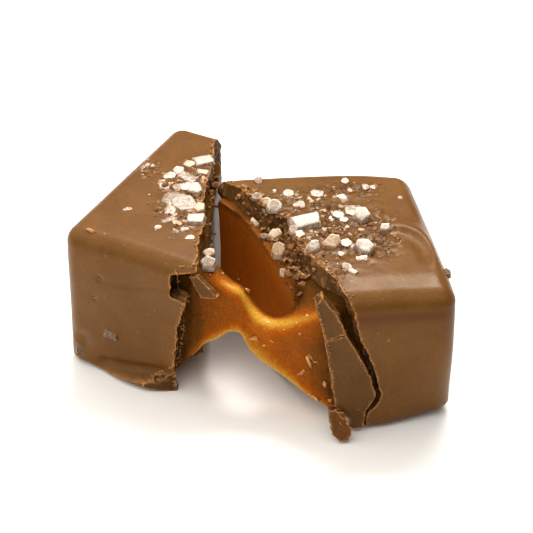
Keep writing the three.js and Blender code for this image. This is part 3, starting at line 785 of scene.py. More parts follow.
# %% Milk chocolate: its outside, where it is broken, its crumbs, flakes and foot
MOTTLES_PER_METRE, GRAINS_PER_METRE, LUMPS_PER_METRE, WAVES_PER_METRE = 260.0, 5200.0, 2200.0, 420.0
FLECK_DEPTH = 0.07


def chocolate_finish(name, dark, light, rim, roughness, grain, depths, shade=(0.012, 0.005, 0.001, 1)):
    """Mottled from dark to light, with dark flakes, painted glints, painted shade and painted light
    on its rims; depths are those of its grain, lumps and waves in millimetres.
    """
    material, tree, shader = new_material(
        name, Roughness=roughness, Subsurface_Weight=0.08, Subsurface_Radius=(1, 0.4, 0.15),
        Subsurface_Scale=0.5 * MM, Specular_IOR_Level=0.2, Specular_Tint=(1.0, 0.82, 0.6, 1))
    mottle = use(tree, mottle_group, Dark=dark, Light=light, Scale=MOTTLES_PER_METRE, Contrast=0.16)
    grained = use(tree, grain_group, Color=mottle["Color"], Scale=GRAINS_PER_METRE, Strength=grain,
                  Specks=0.35)
    # Dark flakes, painted glints and painted shade.
    flecked = use(tree, flake_glint_shade_group, Color=grained["Color"], Shade=shade)
    rimmed = use(tree, rim_group, Color=flecked["Color"], Rim=rim)
    place = object_place(tree)
    waves = noise_at(tree, place, WAVES_PER_METRE, 3.0)
    lumps = noise_at(tree, place, LUMPS_PER_METRE, 3.0, 0.6)
    heights = (grained["Height"], lumps, waves, flecked["Height"])
    smooth, dull = (0.3, roughness - 0.05), (0.7, roughness + 0.07)
    feed(tree, shader, Base_Color=rimmed["Color"], Normal=relief(tree, zip(heights, (*depths, FLECK_DEPTH))),
         Roughness=uneven(tree, waves, smooth, dull, rimmed["Mask"], 0.2))
    return material


chocolate = chocolate_finish(
    "chocolate", (0.122, 0.047, 0.008, 1), (0.151, 0.060, 0.0115, 1), (0.58, 0.24, 0.07, 1),
    0.34, 0.20, (0.010, 0.016, 0.05), (0.100, 0.028, 0.003, 1))
broken = chocolate_finish(
    "broken_chocolate", (0.042, 0.016, 0.003, 1), (0.120, 0.048, 0.010, 1), (0.62, 0.27, 0.08, 1),
    0.58, 0.40, (0.03, 0.08, 0.0))
crumbly = chocolate_finish(
    "crumb_chocolate", (0.085, 0.031, 0.007, 1), (0.270, 0.110, 0.032, 1), (0.60, 0.30, 0.12, 1),
    0.6, 0.40, (0.03, 0.10, 0.0))
# The flakes of wall get a darker copy of the wall's chocolate: painted shade on them.
shaded_shard = chocolate_finish(
    "shaded_shard_chocolate", (0.088, 0.034, 0.007, 1), (0.120, 0.046, 0.009, 1), (0.60, 0.25, 0.08, 1),
    0.42, 0.22, (0.010, 0.02, 0.04))
flaky = chocolate_finish(
    "flake_chocolate", (0.42, 0.130, 0.030, 1), (0.60, 0.230, 0.065, 1), (0.80, 0.42, 0.16, 1),
    0.6, 0.30, (0.02, 0.05, 0.0))
foot_chocolate = chocolate_finish(
    "foot_chocolate", (0.085, 0.028, 0.005, 1), (0.190, 0.066, 0.016, 1), (0.66, 0.32, 0.12, 1),
    0.36, 0.45, (0.03, 0.09, 0.0))
print("chocolates:", [finish.name for finish in (chocolate, broken, crumbly, shaded_shard, flaky, foot_chocolate)])

# %% [markdown]
# Soft caramel is dark where it is thick and glows orange where it is thin, as syrup does.
# Light that scatters inside it gives some of that. The rest is painted light, carried by two
# attributes of the mesh. Glow is high along the strand's roll, where it has a painted highlight,
# and along its lower rim, and it is raised on the cut face behind the strand, which lies in
# shade. Lit is high on that face, where light comes through from the back, and is painted there
# as an emission.

# %% Caramel
CARAMEL_COLORS = [
    (0.0, (0.042, 0.016, 0.002, 1)), (0.25, (0.150, 0.050, 0.008, 1)), (0.5, (0.340, 0.076, 0.005, 1)),
    (0.75, (0.530, 0.270, 0.026, 1)), (1.0, (0.84, 0.42, 0.040, 1))]
LIGHT_THROUGH = (0.125, 0.021, 0.0, 1)
CLOUDS_PER_METRE, BUBBLES_PER_METRE = 500.0, 2600.0
caramel_material, tree, shader = new_material(
    "caramel", Roughness=0.36, Subsurface_Weight=0.3, Subsurface_Radius=(1.0, 0.3, 0.05),
    Subsurface_Scale=0.8 * MM, Coat_Roughness=0.12, IOR=1.2, Specular_IOR_Level=0.05,
    Specular_Tint=(1.0, 0.66, 0.36, 1), Emission_Strength=1.0)
place = object_place(tree)
glow = attribute(tree, "glow")
cloud = noise_at(tree, place, CLOUDS_PER_METRE, 4.0, 0.6, 0.6)
level = math_node(tree, "ADD", glow, remap(tree, cloud, 0.3, 0.7, -0.06, 0.06))
ramp = node(tree, "ValToRGB", Fac=level)
while len(ramp.color_ramp.elements) < len(CARAMEL_COLORS):
    ramp.color_ramp.elements.new(0.5)
for element, (position, color) in zip(ramp.color_ramp.elements, CARAMEL_COLORS):
    element.position = position
    element.color = color
grained = use(tree, grain_group, Color=ramp.outputs["Color"], Scale=5000.0, Strength=0.4, Specks=0.35)
bubbles = noise_at(tree, place, BUBBLES_PER_METRE, 2.0, 0.5)
feed(tree, shader, Base_Color=grained["Color"], Coat_Weight=remap(tree, glow, 0.55, 0.95, 0.0, 0.3),
     Emission_Color=mix_color(tree, attribute(tree, "lit"), (0, 0, 0, 1), LIGHT_THROUGH),
     Normal=relief(tree, [(grained["Height"], 0.014), (bubbles, 0.03)]))
print("caramel, from dark to bright:", [color[:3] for _, color in CARAMEL_COLORS])

# %% [markdown]
# Coarse salt comes as chipped crystals: frosted white, clear, or stained tan where they
# drew up some caramel. Frosted salt scatters light, and clear salt mostly lets it through.


# %% Salt, in four kinds
STREAKS_PER_METRE, PITS_PER_METRE = 1300.0, 3200.0
FROSTED_EDGE = (0.64, 0.59, 0.52, 1)


def salt_finish(kind, color, frost, roughness, scatter, transmission, edges=0.65):
    """Salt that is clear in places and frosted in others; its edges are always frosted."""
    material, tree, shader = new_material(
        "salt_" + kind, Roughness=roughness, Subsurface_Weight=scatter, Subsurface_Radius=(1.0, 0.9, 0.8),
        Subsurface_Scale=0.9 * MM, Transmission_Weight=transmission, IOR=1.5, Specular_IOR_Level=0.5,
        Specular_Tint=(1.0, 0.86, 0.72, 1))
    place = object_place(tree)
    streaks = noise_at(tree, place, STREAKS_PER_METRE, 4.0, 0.65, 1.5)
    pits = noise_at(tree, place, PITS_PER_METRE, 2.0, 0.5)
    tint = mix_color(tree, remap(tree, streaks, 0.42, 0.6), color, frost)
    rimmed = use(tree, rim_group, Color=tint, Rim=FROSTED_EDGE, Amount=edges)
    smooth, dull = (0.35, roughness - 0.08), (0.65, roughness + 0.12)
    feed(tree, shader, Base_Color=rimmed["Color"], Normal=relief(tree, [(pits, 0.012), (streaks, 0.014)]),
         Roughness=uneven(tree, streaks, smooth, dull, rimmed["Mask"], 0.25))
    return material


# Colour where it is clear and where it is frosted, roughness, scatter, transmission, and how
# frosted its edges are.
SALT_KINDS = {
    "white": ((0.33, 0.22, 0.14, 1), (0.50, 0.435, 0.355, 1), 0.24, 0.9, 0.15),
    "tan": ((0.34, 0.19, 0.09, 1), (0.46, 0.31, 0.18, 1), 0.24, 0.9, 0.15),
    "clear": ((0.28, 0.165, 0.085, 1), (0.41, 0.295, 0.195, 1), 0.14, 0.8, 0.25),
    "brown": ((0.15, 0.065, 0.024, 1), (0.27, 0.15, 0.07, 1), 0.2, 0.4, 0.35, 0.25),
}
salt = {kind: salt_finish(kind, *values) for kind, values in SALT_KINDS.items()}
print("finishes:", [material.name for material in bpy.data.materials])

# %% [markdown]
# ## Relief on the chocolate
#
# The tops are smooth only away from the salt. Round it the chocolate has crags, and domes
# where it flowed over a grain. The front walls have a few pits and a soft crease, and the
# right half's top has a fold from the dipping. All of it is real relief in the grid, so it
# shows at the outline too.

# %% Where the tops are craggy, and the grains that the chocolate covers
# Crags as (middle, half widths) in u and v, and their grain as (size of the bumps, their height).
LEFT_CRAGS = [((7.2, 13.2), (2.0, 3.2)), ((8.6, 9.2), (2.2, 2.6)), ((9.8, 6.6), (1.3, 1.6)),
              ((2.1, 13.2), (0.9, 1.2))]
RIGHT_CRAGS = [((10.5, 15.6), (3.4, 2.6)), ((14.5, 12.4), (3.6, 2.4)), ((14.2, 8.6), (3.6, 2.4)),
               ((13.6, 4.2), (1.4, 1.6)), ((17.6, 8.8), (2.0, 2.8)), ((16.5, 17.6), (2.6, 1.4))]
CRAG_GRAIN = [(1.5, 0.22), (0.7, 0.19), (0.4, 0.09)]
DOMES = 12
DOME_SIZES = (0.3, 0.75)
DOMES_FROM, DOMES_TO = 2, (22, 20)


def crag_share(u, v, crags):
    """How craggy a place on a top is, from 0 to 1."""
    return clamp(sum(hump(u, v, at, width) for at, width in crags))


def scatter_domes(crags, seed):
    """Covered grains, as (u, v, radius, height), more of them where it is craggy."""
    draw = random.Random(seed)
    domes = []
    while len(domes) < DOMES:
        u, v = [draw.uniform(DOMES_FROM, end) for end in DOMES_TO]
        if draw.random() < crag_share(u, v, crags):
            radius = draw.uniform(*DOME_SIZES)
            domes.append((u, v, radius, radius * draw.uniform(0.3, 0.65)))
    return domes


def top_relief(u, v, crags, domes):
    """How far a top stands up: slow waves, the grain of the crags, and the domes over both."""
    share = crag_share(u, v, crags)
    height = 0.03 * rough(u, v, 0, 4.0, 2)
    if share > 0.02:
        height += share * sum(size * (0.5 - 2 * abs(rough(u, v, 1, bump, 4))) for bump, size in CRAG_GRAIN)
    for at_u, at_v, radius, rise in domes:
        if abs(u - at_u) < radius and abs(v - at_v) < radius:
            away = math.hypot(u - at_u, v - at_v) / radius * (1 + 0.3 * rough(u, v, 5, 0.5, 8))
            height = max(height, rise * math.sqrt(max(0, 1 - away * away)))
    return height


LEFT_DOMES = scatter_domes(LEFT_CRAGS, 11)
RIGHT_DOMES = scatter_domes(RIGHT_CRAGS, 12)
print("domes:", len(LEFT_DOMES), "and", len(RIGHT_DOMES))

# %% The fold near the right end, and pits and a crease in the walls
FOLD_CENTRE, FOLD_RADII, FOLD_HEIGHT, FOLD_DIP = (19.4, 6.4), (3.7, 4.6), 0.34, 0.16
FOLD_OUTSIDE, FOLD_INSIDE, DIP_PLACE, DIP_WIDTH = 1.0, 0.4, -1.1, 0.6
FRONT_DROOP, CREASE_DEPTH, WALL_WAVES = 0.35, 0.12, 0.025
# Pits as (u, w, width, depth); a negative depth stands out.
LEFT_PITS = [(4.25, 11.3, 0.35, 0.2), (3.57, 8.7, 0.16, 0.3), (1.8, 3.0, 0.9, 0.35),
             (4.3, 1.15, 0.55, 0.35), (5.35, 5.2, 0.95, -0.15), (10.6, 5.6, 0.3, 0.06),
             (9.2, 13.4, 0.25, -0.05)]
RIGHT_PITS = [(18.7, 12.2, 0.2, 0.06), (20.8, 7.4, 0.2, -0.05), (17.6, 4.1, 0.25, 0.05)]
CREASE = [(4.7, 11.0), (8.5, 11.6), (12.5, 12.7)]


def fold_height(u, v):
    """A low ridge in an arc, long outside and steep inside, where the surface dips."""
    x, y = (u - FOLD_CENTRE[0]) / FOLD_RADII[0], (v - FOLD_CENTRE[1]) / FOLD_RADII[1]
    away = (math.hypot(x, y) - 1) * FOLD_RADII[0]
    angle = math.degrees(math.atan2(y, x))
    share = smoothstep(angle, -40, 0) * (1 - smoothstep(angle, 75, 105))
    ridge = math.exp(-((away / (FOLD_OUTSIDE if away > 0 else FOLD_INSIDE)) ** 2))
    dip = math.exp(-(((away - DIP_PLACE) / DIP_WIDTH) ** 2))
    return share * (FOLD_HEIGHT * ridge - FOLD_DIP * dip)


def wall_relief(u, w, pits):
    """How far a front wall goes in: its pits, and slow waves."""
    depth = sum(deep * hump(u, w, (at_u, at_w), (wide, wide)) for at_u, at_w, wide, deep in pits)
    return depth + WALL_WAVES * rough(u, w, 2, 1.6, 6)


def on_top_and_front(p):
    """How far a point belongs to the top, and to the front."""
    return smoothstep(p.z, HEIGHT - 0.9, HEIGHT - 0.1), 1 - smoothstep(p.y, 0.1, 1.0)


def dress_left(p):
    p = shape_left(rounded(p))
    on_top, on_front = on_top_and_front(p)
    p.z += on_top * top_relief(p.x, p.y, LEFT_CRAGS, LEFT_DOMES)
    crease = math.exp(-(((p.z - profile(CREASE, p.x)) / 0.35) ** 2)) * smoothstep(p.x, 4, 7)
    p.y += on_front * (1 - on_top) * (wall_relief(p.x, p.z, LEFT_PITS) + CREASE_DEPTH * crease)
    return p


def dress_right(p):
    p = shape_right(rounded(p))
    on_top, on_front = on_top_and_front(p)
    p.z += on_top * (top_relief(p.x, p.y, RIGHT_CRAGS, RIGHT_DOMES) + fold_height(p.x, p.y))
    p.z -= FRONT_DROOP * (1 - smoothstep(p.y, 0.6, 3.6)) * smoothstep(p.z, HEIGHT - 3, HEIGHT - 0.5)
    p.y += on_front * (1 - on_top) * wall_relief(p.x, p.z, RIGHT_PITS)
    return p


print("top in the middle of the left half:", round(dress_left(Vector((6, 11, HEIGHT))).z, 2), "mm")


# %% The attribute edge, which the finishes read
def store(obj, name, values):
    """Keeps one number for each vertex as an attribute."""
    layer = obj.data.attributes.get(name) or obj.data.attributes.new(name, "FLOAT", "POINT")
    layer.data.foreach_set("value", values)


BREAK_REACH, SEAM_EDGE = 2, 0.9


def measure_edges(obj, low=0.14, high=0.4, spread=0.5):
    """How sharply each point on or near a break bends outwards, from 0 to 1, kept as edge.

    The break has the last material. It reaches a few points past its own faces, and the
    seam where it meets the outside counts as an edge too. A point beside an edge takes a
    share of it, which is spread."""
    mesh = obj.data
    count = len(mesh.vertices)
    points, normals = np.empty(count * 3), np.empty(count * 3)
    ends = np.empty(len(mesh.edges) * 2, int)
    mesh.vertices.foreach_get("co", points)
    mesh.vertex_normals.foreach_get("vector", normals)
    mesh.edges.foreach_get("vertices", ends)
    points, normals, ends = points.reshape(-1, 3), normals.reshape(-1, 3), ends.reshape(-1, 2)
    a, b = ends[:, 0], ends[:, 1]
    length = np.linalg.norm(points[a] - points[b], axis=1) + 1e-9
    bend_a = ((points[a] - points[b]) * normals[a]).sum(1) / length
    bend_b = ((points[b] - points[a]) * normals[b]).sum(1) / length
    share = np.bincount(a, minlength=count) + np.bincount(b, minlength=count)
    bend = (np.bincount(a, bend_a, count) + np.bincount(b, bend_b, count)) / np.maximum(share, 1)
    value = np.clip((bend - low) / (high - low), 0, 1)
    near = value.copy()
    np.maximum.at(near, a, value[b] * spread)
    np.maximum.at(near, b, value[a] * spread)
    sides = np.zeros((2, count))
    for polygon in mesh.polygons:
        sides[int(polygon.material_index == len(mesh.materials) - 1), list(polygon.vertices)] = 1
    seam, on_break = sides[0] * sides[1], sides[1]
    for _ in range(BREAK_REACH):
        before = on_break.copy()
        np.maximum.at(on_break, a, before[b])
        np.maximum.at(on_break, b, before[a])
    near = np.maximum(near * on_break, seam * SEAM_EDGE)
    store(obj, "edge", near)
    print(obj.name, "edge share:", round(float(near.mean()), 3))


# %% Where dark flakes and painted glints lie, and where shade is painted
SHADE_OF_LIP, SHADE_OF_BREAK = 0.6, 0.9


def shade_below_edge(p):
    """Painted shade on a band below the front edge."""
    return hump(p.z, p.y, (HEIGHT - 2.5, 0), (0.8, 1.0))


def below_lip(p):
    """Painted shade on the upright front of the flared foot."""
    lip_top = profile(LIP_TOP, p.x)
    share = smoothstep(p.x, 1, 5) * (1 - smoothstep(p.y, 0, 0.5))
    return SHADE_OF_LIP * share * (1 - smoothstep(p.z, lip_top - 0.4, lip_top))


def measure_flakes_and_shade(obj, matrix, crags, outside_shade):
    """How craggy the top is at each point, kept as an attribute that sets where dark flakes and painted
    glints lie, and how much shade is painted there, kept as shade.

    A break gets painted shade where it goes in, and the outside gets the painted shade that the given
    function returns."""
    back = matrix.inverted()
    on_break = set()
    for polygon in obj.data.polygons:
        if polygon.material_index:
            on_break.update(polygon.vertices)
    flakes_and_glints, shade = [], []
    for i, p in enumerate([back @ vert.co for vert in obj.data.vertices]):
        flakes_and_glints.append(crag_share(p.x, p.y, crags) * smoothstep(p.z, HEIGHT - 0.9, HEIGHT - 0.2))
        if i in on_break:
            shade.append(SHADE_OF_BREAK * smoothstep(p.y, 0.2, 1.1) * (1 - smoothstep(p.z, 12.8, 13.9)))
        else:
            shade.append(outside_shade(p))
    store(obj, "flakes_and_glints", flakes_and_glints)
    store(obj, "shade", shade)


def mark_lip(obj, matrix):
    """Counts the ridge of the flared foot as an edge, so that it gets the rim's lighter colour: a painted
    highlight along the ridge.
    """
    back = matrix.inverted()
    for vert, edge in zip(obj.data.vertices, obj.data.attributes["edge"].data):
        p = back @ vert.co
        share = smoothstep(p.x, 2, 6) * (1 - smoothstep(p.y, 0, 0.6))
        ridge = math.exp(-(((p.z - profile(LIP_TOP, p.x)) / RIDGE_WIDTH) ** 2))
        edge.value = max(edge.value, RIDGE_HIGHLIGHT * share * ridge)


# %% Cut the two shells
ROOM_GAP = 0.03


def cut_with(obj, bm, matrix, operation="DIFFERENCE"):
    """Cuts obj by a Boolean; the tool's faces, and so those that it leaves, have the second material."""
    for face in bm.faces:
        face.material_index = 1
    tool = piece(obj.name + "_tool", bm, matrix, obj.data.materials)
    modifier = obj.modifiers.new(operation.lower(), "BOOLEAN")
    modifier.operation = operation
    modifier.solver = "MANIFOLD"
    modifier.object = tool
    bpy.context.view_layer.update()
    evaluated = obj.evaluated_get(bpy.context.evaluated_depsgraph_get())
    mesh = bpy.data.meshes.new_from_object(evaluated)
    obj.modifiers.clear()
    obj.data = mesh
    bpy.data.objects.remove(tool)


def shell(name, low_u, high_u, dress, part, matrix, crags, outside_shade):
    """A dressed block, less what is past its break, the hollows beside it and the caramel's room."""
    bm = box_grid((low_u, 0, 0), (high_u, DEPTH, HEIGHT), BLOCK_STEP)
    for vert in bm.verts:
        vert.co = dress(vert.co)
    obj = piece(name, bm, matrix, [chocolate, broken])
    cut_with(obj, past_break(part), matrix)
    for seed, (middle, radii) in enumerate(part["hollows"]):
        cut_with(obj, hollow(middle, radii, seed), matrix)
    cut_with(obj, caramel_loft(1, grow=ROOM_GAP), ON_TABLE)
    finish_shading(obj)
    measure_edges(obj)
    measure_flakes_and_shade(obj, matrix, crags, outside_shade)
    print(name, len(obj.data.polygons), "faces")
    return obj


left_shell = shell("left_shell", 0, 17, dress_left, LEFT_BREAK, LEFT, LEFT_CRAGS, below_lip)
mark_lip(left_shell, LEFT)
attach(left_shell, "root")
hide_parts("shell_left")
right_shell = shell("right_shell", 3, LENGTH, dress_right, RIGHT_BREAK, RIGHT, RIGHT_CRAGS, shade_below_edge)
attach(right_shell, "root")
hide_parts("shell_right")

# %% The caramel itself
caramel = piece("caramel_filling", caramel_loft(4), ON_TABLE, [caramel_material])
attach(caramel, "root")
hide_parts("caramel")
print("caramel:", len(caramel.data.polygons), "faces")

# %% [markdown]
# ## Splinters
#
# Where a shell was torn off, flakes of its wall stay behind on the caramel. A flake has
# two smooth sides and a ragged outline all round, so it is what a slab of wall and a
# ragged prism have in common: again one Boolean, this time an intersection.

# %% The flakes of wall, as outlines in millimetres
# The first two stand just proud of the right wall, the third leans on it from the table,
# and the last one sticks to the strand. Each has its outline, thickness and place.
PROUD = RIGHT @ Matrix.Translation((0, -0.3, 0))
LEANING = RIGHT @ Matrix.Translation((12.2, -1.95, 0.33)) @ Matrix.Rotation(math.radians(-24), 4, "X")
STUCK = ON_TABLE @ Matrix.Translation((-7.3, -12.5, 0)) @ Matrix.Rotation(math.radians(-25), 4, "Z")
FLAKES = [
    ("splinter_upper", [(10.9, 15.3), (11.6, 16.0), (13.1, 13.7), (13.8, 11.75), (11.9, 11.15),
                        (11.3, 13.3)], 1.2, PROUD),
    ("splinter_lower", [(11.8, 11.0), (13.8, 11.6), (14.6, 10.1), (15.4, 8.4), (16.2, 6.4),
                        (16.7, 4.6), (16.6, 3.9), (15.9, 2.6), (15.6, 0.5), (14.4, 0.5), (14.3, 1.7),
                        (12.9, 3.3), (12.5, 6.5), (12.2, 8.6)], 1.2, PROUD),
    ("splinter_foot", [(0, 3.3), (1.4, 2.8), (2.2, 1.2), (1.9, 0.1), (1.0, 0), (0.3, 0.9)], 0.8, LEANING),
    ("splinter_strand", [(0, 13.7), (0.75, 14.0), (2.9, 12.2), (2.5, 11.9), (1.2, 11.6)], 0.5, STUCK),
]
SLAB_STEP, SLAB_MARGIN, SLAB_WAVES = 0.18, 0.6, 0.04
FLAKE_STEP = 0.13
FLAKE_GRAIN = [(0.9, 0.10), (0.35, 0.09), (0.17, 0.05)]


# %% A ragged prism on an outline
def along_outline(outline):
    """Evenly spaced points round a closed outline."""
    points = []
    for start, end in zip(outline, outline[1:] + outline[:1]):
        count = max(1, round(math.dist(start, end) / FLAKE_STEP))
        points += [between(start, end, i / count) for i in range(count)]
    return points


def ragged_prism(outline, thickness, seed):
    """A tube round the outline with a broken wall, closed at both ends."""
    points = along_outline(outline)
    centre = Vector([sum(axis) / len(points) for axis in zip(*points)])
    rows = round((thickness + 1) / FLAKE_STEP)
    bm = bmesh.new()
    bmesh.ops.create_grid(bm, x_segments=rows, y_segments=len(points), size=1)
    for vert in bm.verts:
        depth = lerp(-0.5, thickness + 0.5, (vert.co.x + 1) / 2)
        x, z = points[round((vert.co.y + 1) / 2 * len(points)) % len(points)]
        out = (Vector((x, z)) - centre).normalized()
        push = sum(rise * rough(x, depth, z, size, seed) for size, rise in FLAKE_GRAIN)
        vert.co = (x + out.x * push, depth, z + out.y * push)
    bmesh.ops.remove_doubles(bm, verts=bm.verts, dist=1e-4)
    bmesh.ops.holes_fill(bm, edges=[e for e in bm.edges if e.is_boundary])
    return bm


# %% Cut the flakes
for seed, (name, outline, thickness, matrix) in enumerate(FLAKES):
    low_x, low_z = [min(axis) - SLAB_MARGIN for axis in zip(*outline)]
    high_x, high_z = [max(axis) + SLAB_MARGIN for axis in zip(*outline)]
    bm = box_grid((low_x, 0, low_z), (high_x, thickness, high_z), SLAB_STEP)
    for vert in bm.verts:
        vert.co.y += SLAB_WAVES * rough(vert.co.x, vert.co.y, vert.co.z, 1.5, seed)
    outside = foot_chocolate if name == "splinter_foot" else shaded_shard
    flake = piece(name + "_flake", bm, matrix, [outside, broken])
    cut_with(flake, ragged_prism(outline, thickness, seed), matrix, "INTERSECT")
    finish_shading(flake)
    measure_edges(flake)
    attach(flake, "root")
    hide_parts(name)

# %% [markdown]
# ## Salt
#
# A crystal of coarse salt is a block with chipped corners and flat facets. So each starts
# as a polygon pushed up into a block, narrower towards a top that slopes to the front, and
# flat cuts take off some corners. Its edges are bevelled, its facets inset, and smoothing
# then wears down only what lies between, so the facets stay flat. The crystals are heavy
# enough to lie in the chocolate while it sets, so each is sunk a part of its height into
# whatever is below it.

# %% Finding the surface under a point of the camera's view
# Places in the view are counted from its upper left corner, in steps of which it has this many.
VIEW_SIZE = 533.0
HALF_VIEW = camera_data.sensor_width / 2 / FOCAL_LENGTH
made = [left_shell, right_shell, caramel] + [bpy.data.objects[name + "_flake"] for name, *_ in FLAKES]
corners, faces = [], []
for obj in made:
    offset = len(corners)
    corners += [vert.co.copy() for vert in obj.data.vertices]
    faces += [[offset + i for i in polygon.vertices] for polygon in obj.data.polygons]
surface = BVHTree.FromPolygons(corners, faces)


def seen_at(x, y, rise=0.0):
    """The place rise millimetres above the surface at a point of the view, and the surface's normal."""
    across = (2 * x / VIEW_SIZE - 1) * HALF_VIEW
    up = (1 - 2 * y / VIEW_SIZE) * HALF_VIEW
    ray = (camera.rotation_euler.to_matrix() @ Vector((across, up, -1))).normalized()
    hit, normal, _, _ = surface.ray_cast(camera.location, ray)
    if hit is None:
        return None, None
    return hit - ray * (rise * MM / -ray.z), normal


def below(point):
    """The surface straight below a point, and its normal."""
    return surface.ray_cast(point, Vector((0, 0, -1)))[:2]


print("surface:", len(faces), "faces")


# %% Bmesh helpers for small things
def add_from(own, bm, matrix):
    """Moves what is in one bmesh over to another, placed by the matrix."""
    mesh = bpy.data.meshes.new("one_of_many")
    bmesh.ops.transform(own, matrix=matrix, verts=own.verts)
    own.to_mesh(mesh)
    own.free()
    bm.from_mesh(mesh)
    bpy.data.meshes.remove(mesh)


def cut_off(bm, point, direction):
    """Cuts away what lies beyond a plane, and closes the cut."""
    everything = bm.verts[:] + bm.edges[:] + bm.faces[:]
    bmesh.ops.bisect_plane(bm, geom=everything, plane_co=point, plane_no=direction, clear_outer=True)
    bmesh.ops.holes_fill(bm, edges=[e for e in bm.edges if e.is_boundary])


def loose_piece(name, bm, material):
    """A piece of scattered things, whose bmesh is already in the frame's metres."""
    obj = piece(name, bm, Matrix.Identity(4), [material])
    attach(obj, "root")
    print(name, len(obj.data.polygons), "faces")
    return obj


# %% A crystal
# Bevels and insets are shares of its least side. Cuts and wear take some of a block away, so
# it starts longer and wider than the size that is given, and a little lower.
BEVEL_SHARE, INSET_SHARE = 0.1, 0.08
CHIPS_OFF, WEAR = 2, 2
GROWN = (1.25, 1.3, 0.85)
DENTS, DENT_SIZE = 0.05, 0.45


def crystal(bm, middle, size, turn, corners, draw):
    """Adds a worn block whose top slopes to the front, at a place in the frame; size is in millimetres."""
    length, width, height = [side * grown for side, grown in zip(size, GROWN)]
    own = bmesh.new()
    bmesh.ops.create_circle(own, cap_ends=True, segments=corners, radius=1)
    for i, vert in enumerate(own.verts):
        angle = math.tau * (i + 0.5 + draw.uniform(-0.22, 0.22)) / corners
        vert.co = (math.cos(angle), math.sin(angle), 0)
    reach = [max(abs(vert.co[axis]) for vert in own.verts) for axis in (0, 1)]
    bmesh.ops.scale(own, verts=own.verts, vec=(length / 2 / reach[0], width / 2 / reach[1], 1))
    bmesh.ops.rotate(own, verts=own.verts, matrix=Matrix.Rotation(math.radians(turn), 3, "Z"))
    bmesh.ops.translate(own, verts=own.verts, vec=(0, 0, -height / 2))
    grown = bmesh.ops.extrude_face_region(own, geom=own.faces[:])
    narrow, front = draw.uniform(0.78, 0.92), draw.uniform(0.3, 0.55)
    for vert in [g for g in grown["geom"] if isinstance(g, bmesh.types.BMVert)]:
        vert.co.x *= narrow
        vert.co.y *= narrow
        vert.co.z = height * (lerp(front, 1, clamp(0.5 + vert.co.y / width)) - 0.5)
    bmesh.ops.recalc_face_normals(own, faces=own.faces)
    for _ in range(CHIPS_OFF):
        direction = Vector((draw.uniform(-1, 1), draw.uniform(-1, 1), draw.uniform(0, 0.8))).normalized()
        furthest = max(own.verts, key=lambda vert: vert.co.dot(direction))
        cut_off(own, furthest.co * draw.uniform(0.84, 0.96), direction)
    bmesh.ops.bevel(own, geom=own.edges[:], offset=BEVEL_SHARE * min(size), affect="EDGES", segments=2,
                    profile=0.5, material=-1, clamp_overlap=True)
    bmesh.ops.subdivide_edges(own, edges=own.edges, cuts=1, use_grid_fill=True)
    large = [face for face in own.faces if face.calc_area() > (2 * INSET_SHARE * min(size)) ** 2]
    bmesh.ops.inset_individual(own, faces=large, thickness=INSET_SHARE * min(size), use_even_offset=True)
    bmesh.ops.poke(own, faces=[face for face in own.faces if len(face.verts) > 4])
    for _ in range(WEAR):
        bmesh.ops.smooth_vert(own, verts=own.verts, factor=0.5, use_axis_x=True, use_axis_y=True,
                              use_axis_z=True)
    seed = draw.uniform(0, 50)
    for vert in own.verts:
        vert.co *= 1 + DENTS * rough(*vert.co, DENT_SIZE, seed)
    bmesh.ops.triangulate(own, faces=own.faces)
    add_from(own, bm, Matrix.Translation(middle) @ Matrix.Scale(MM, 4))


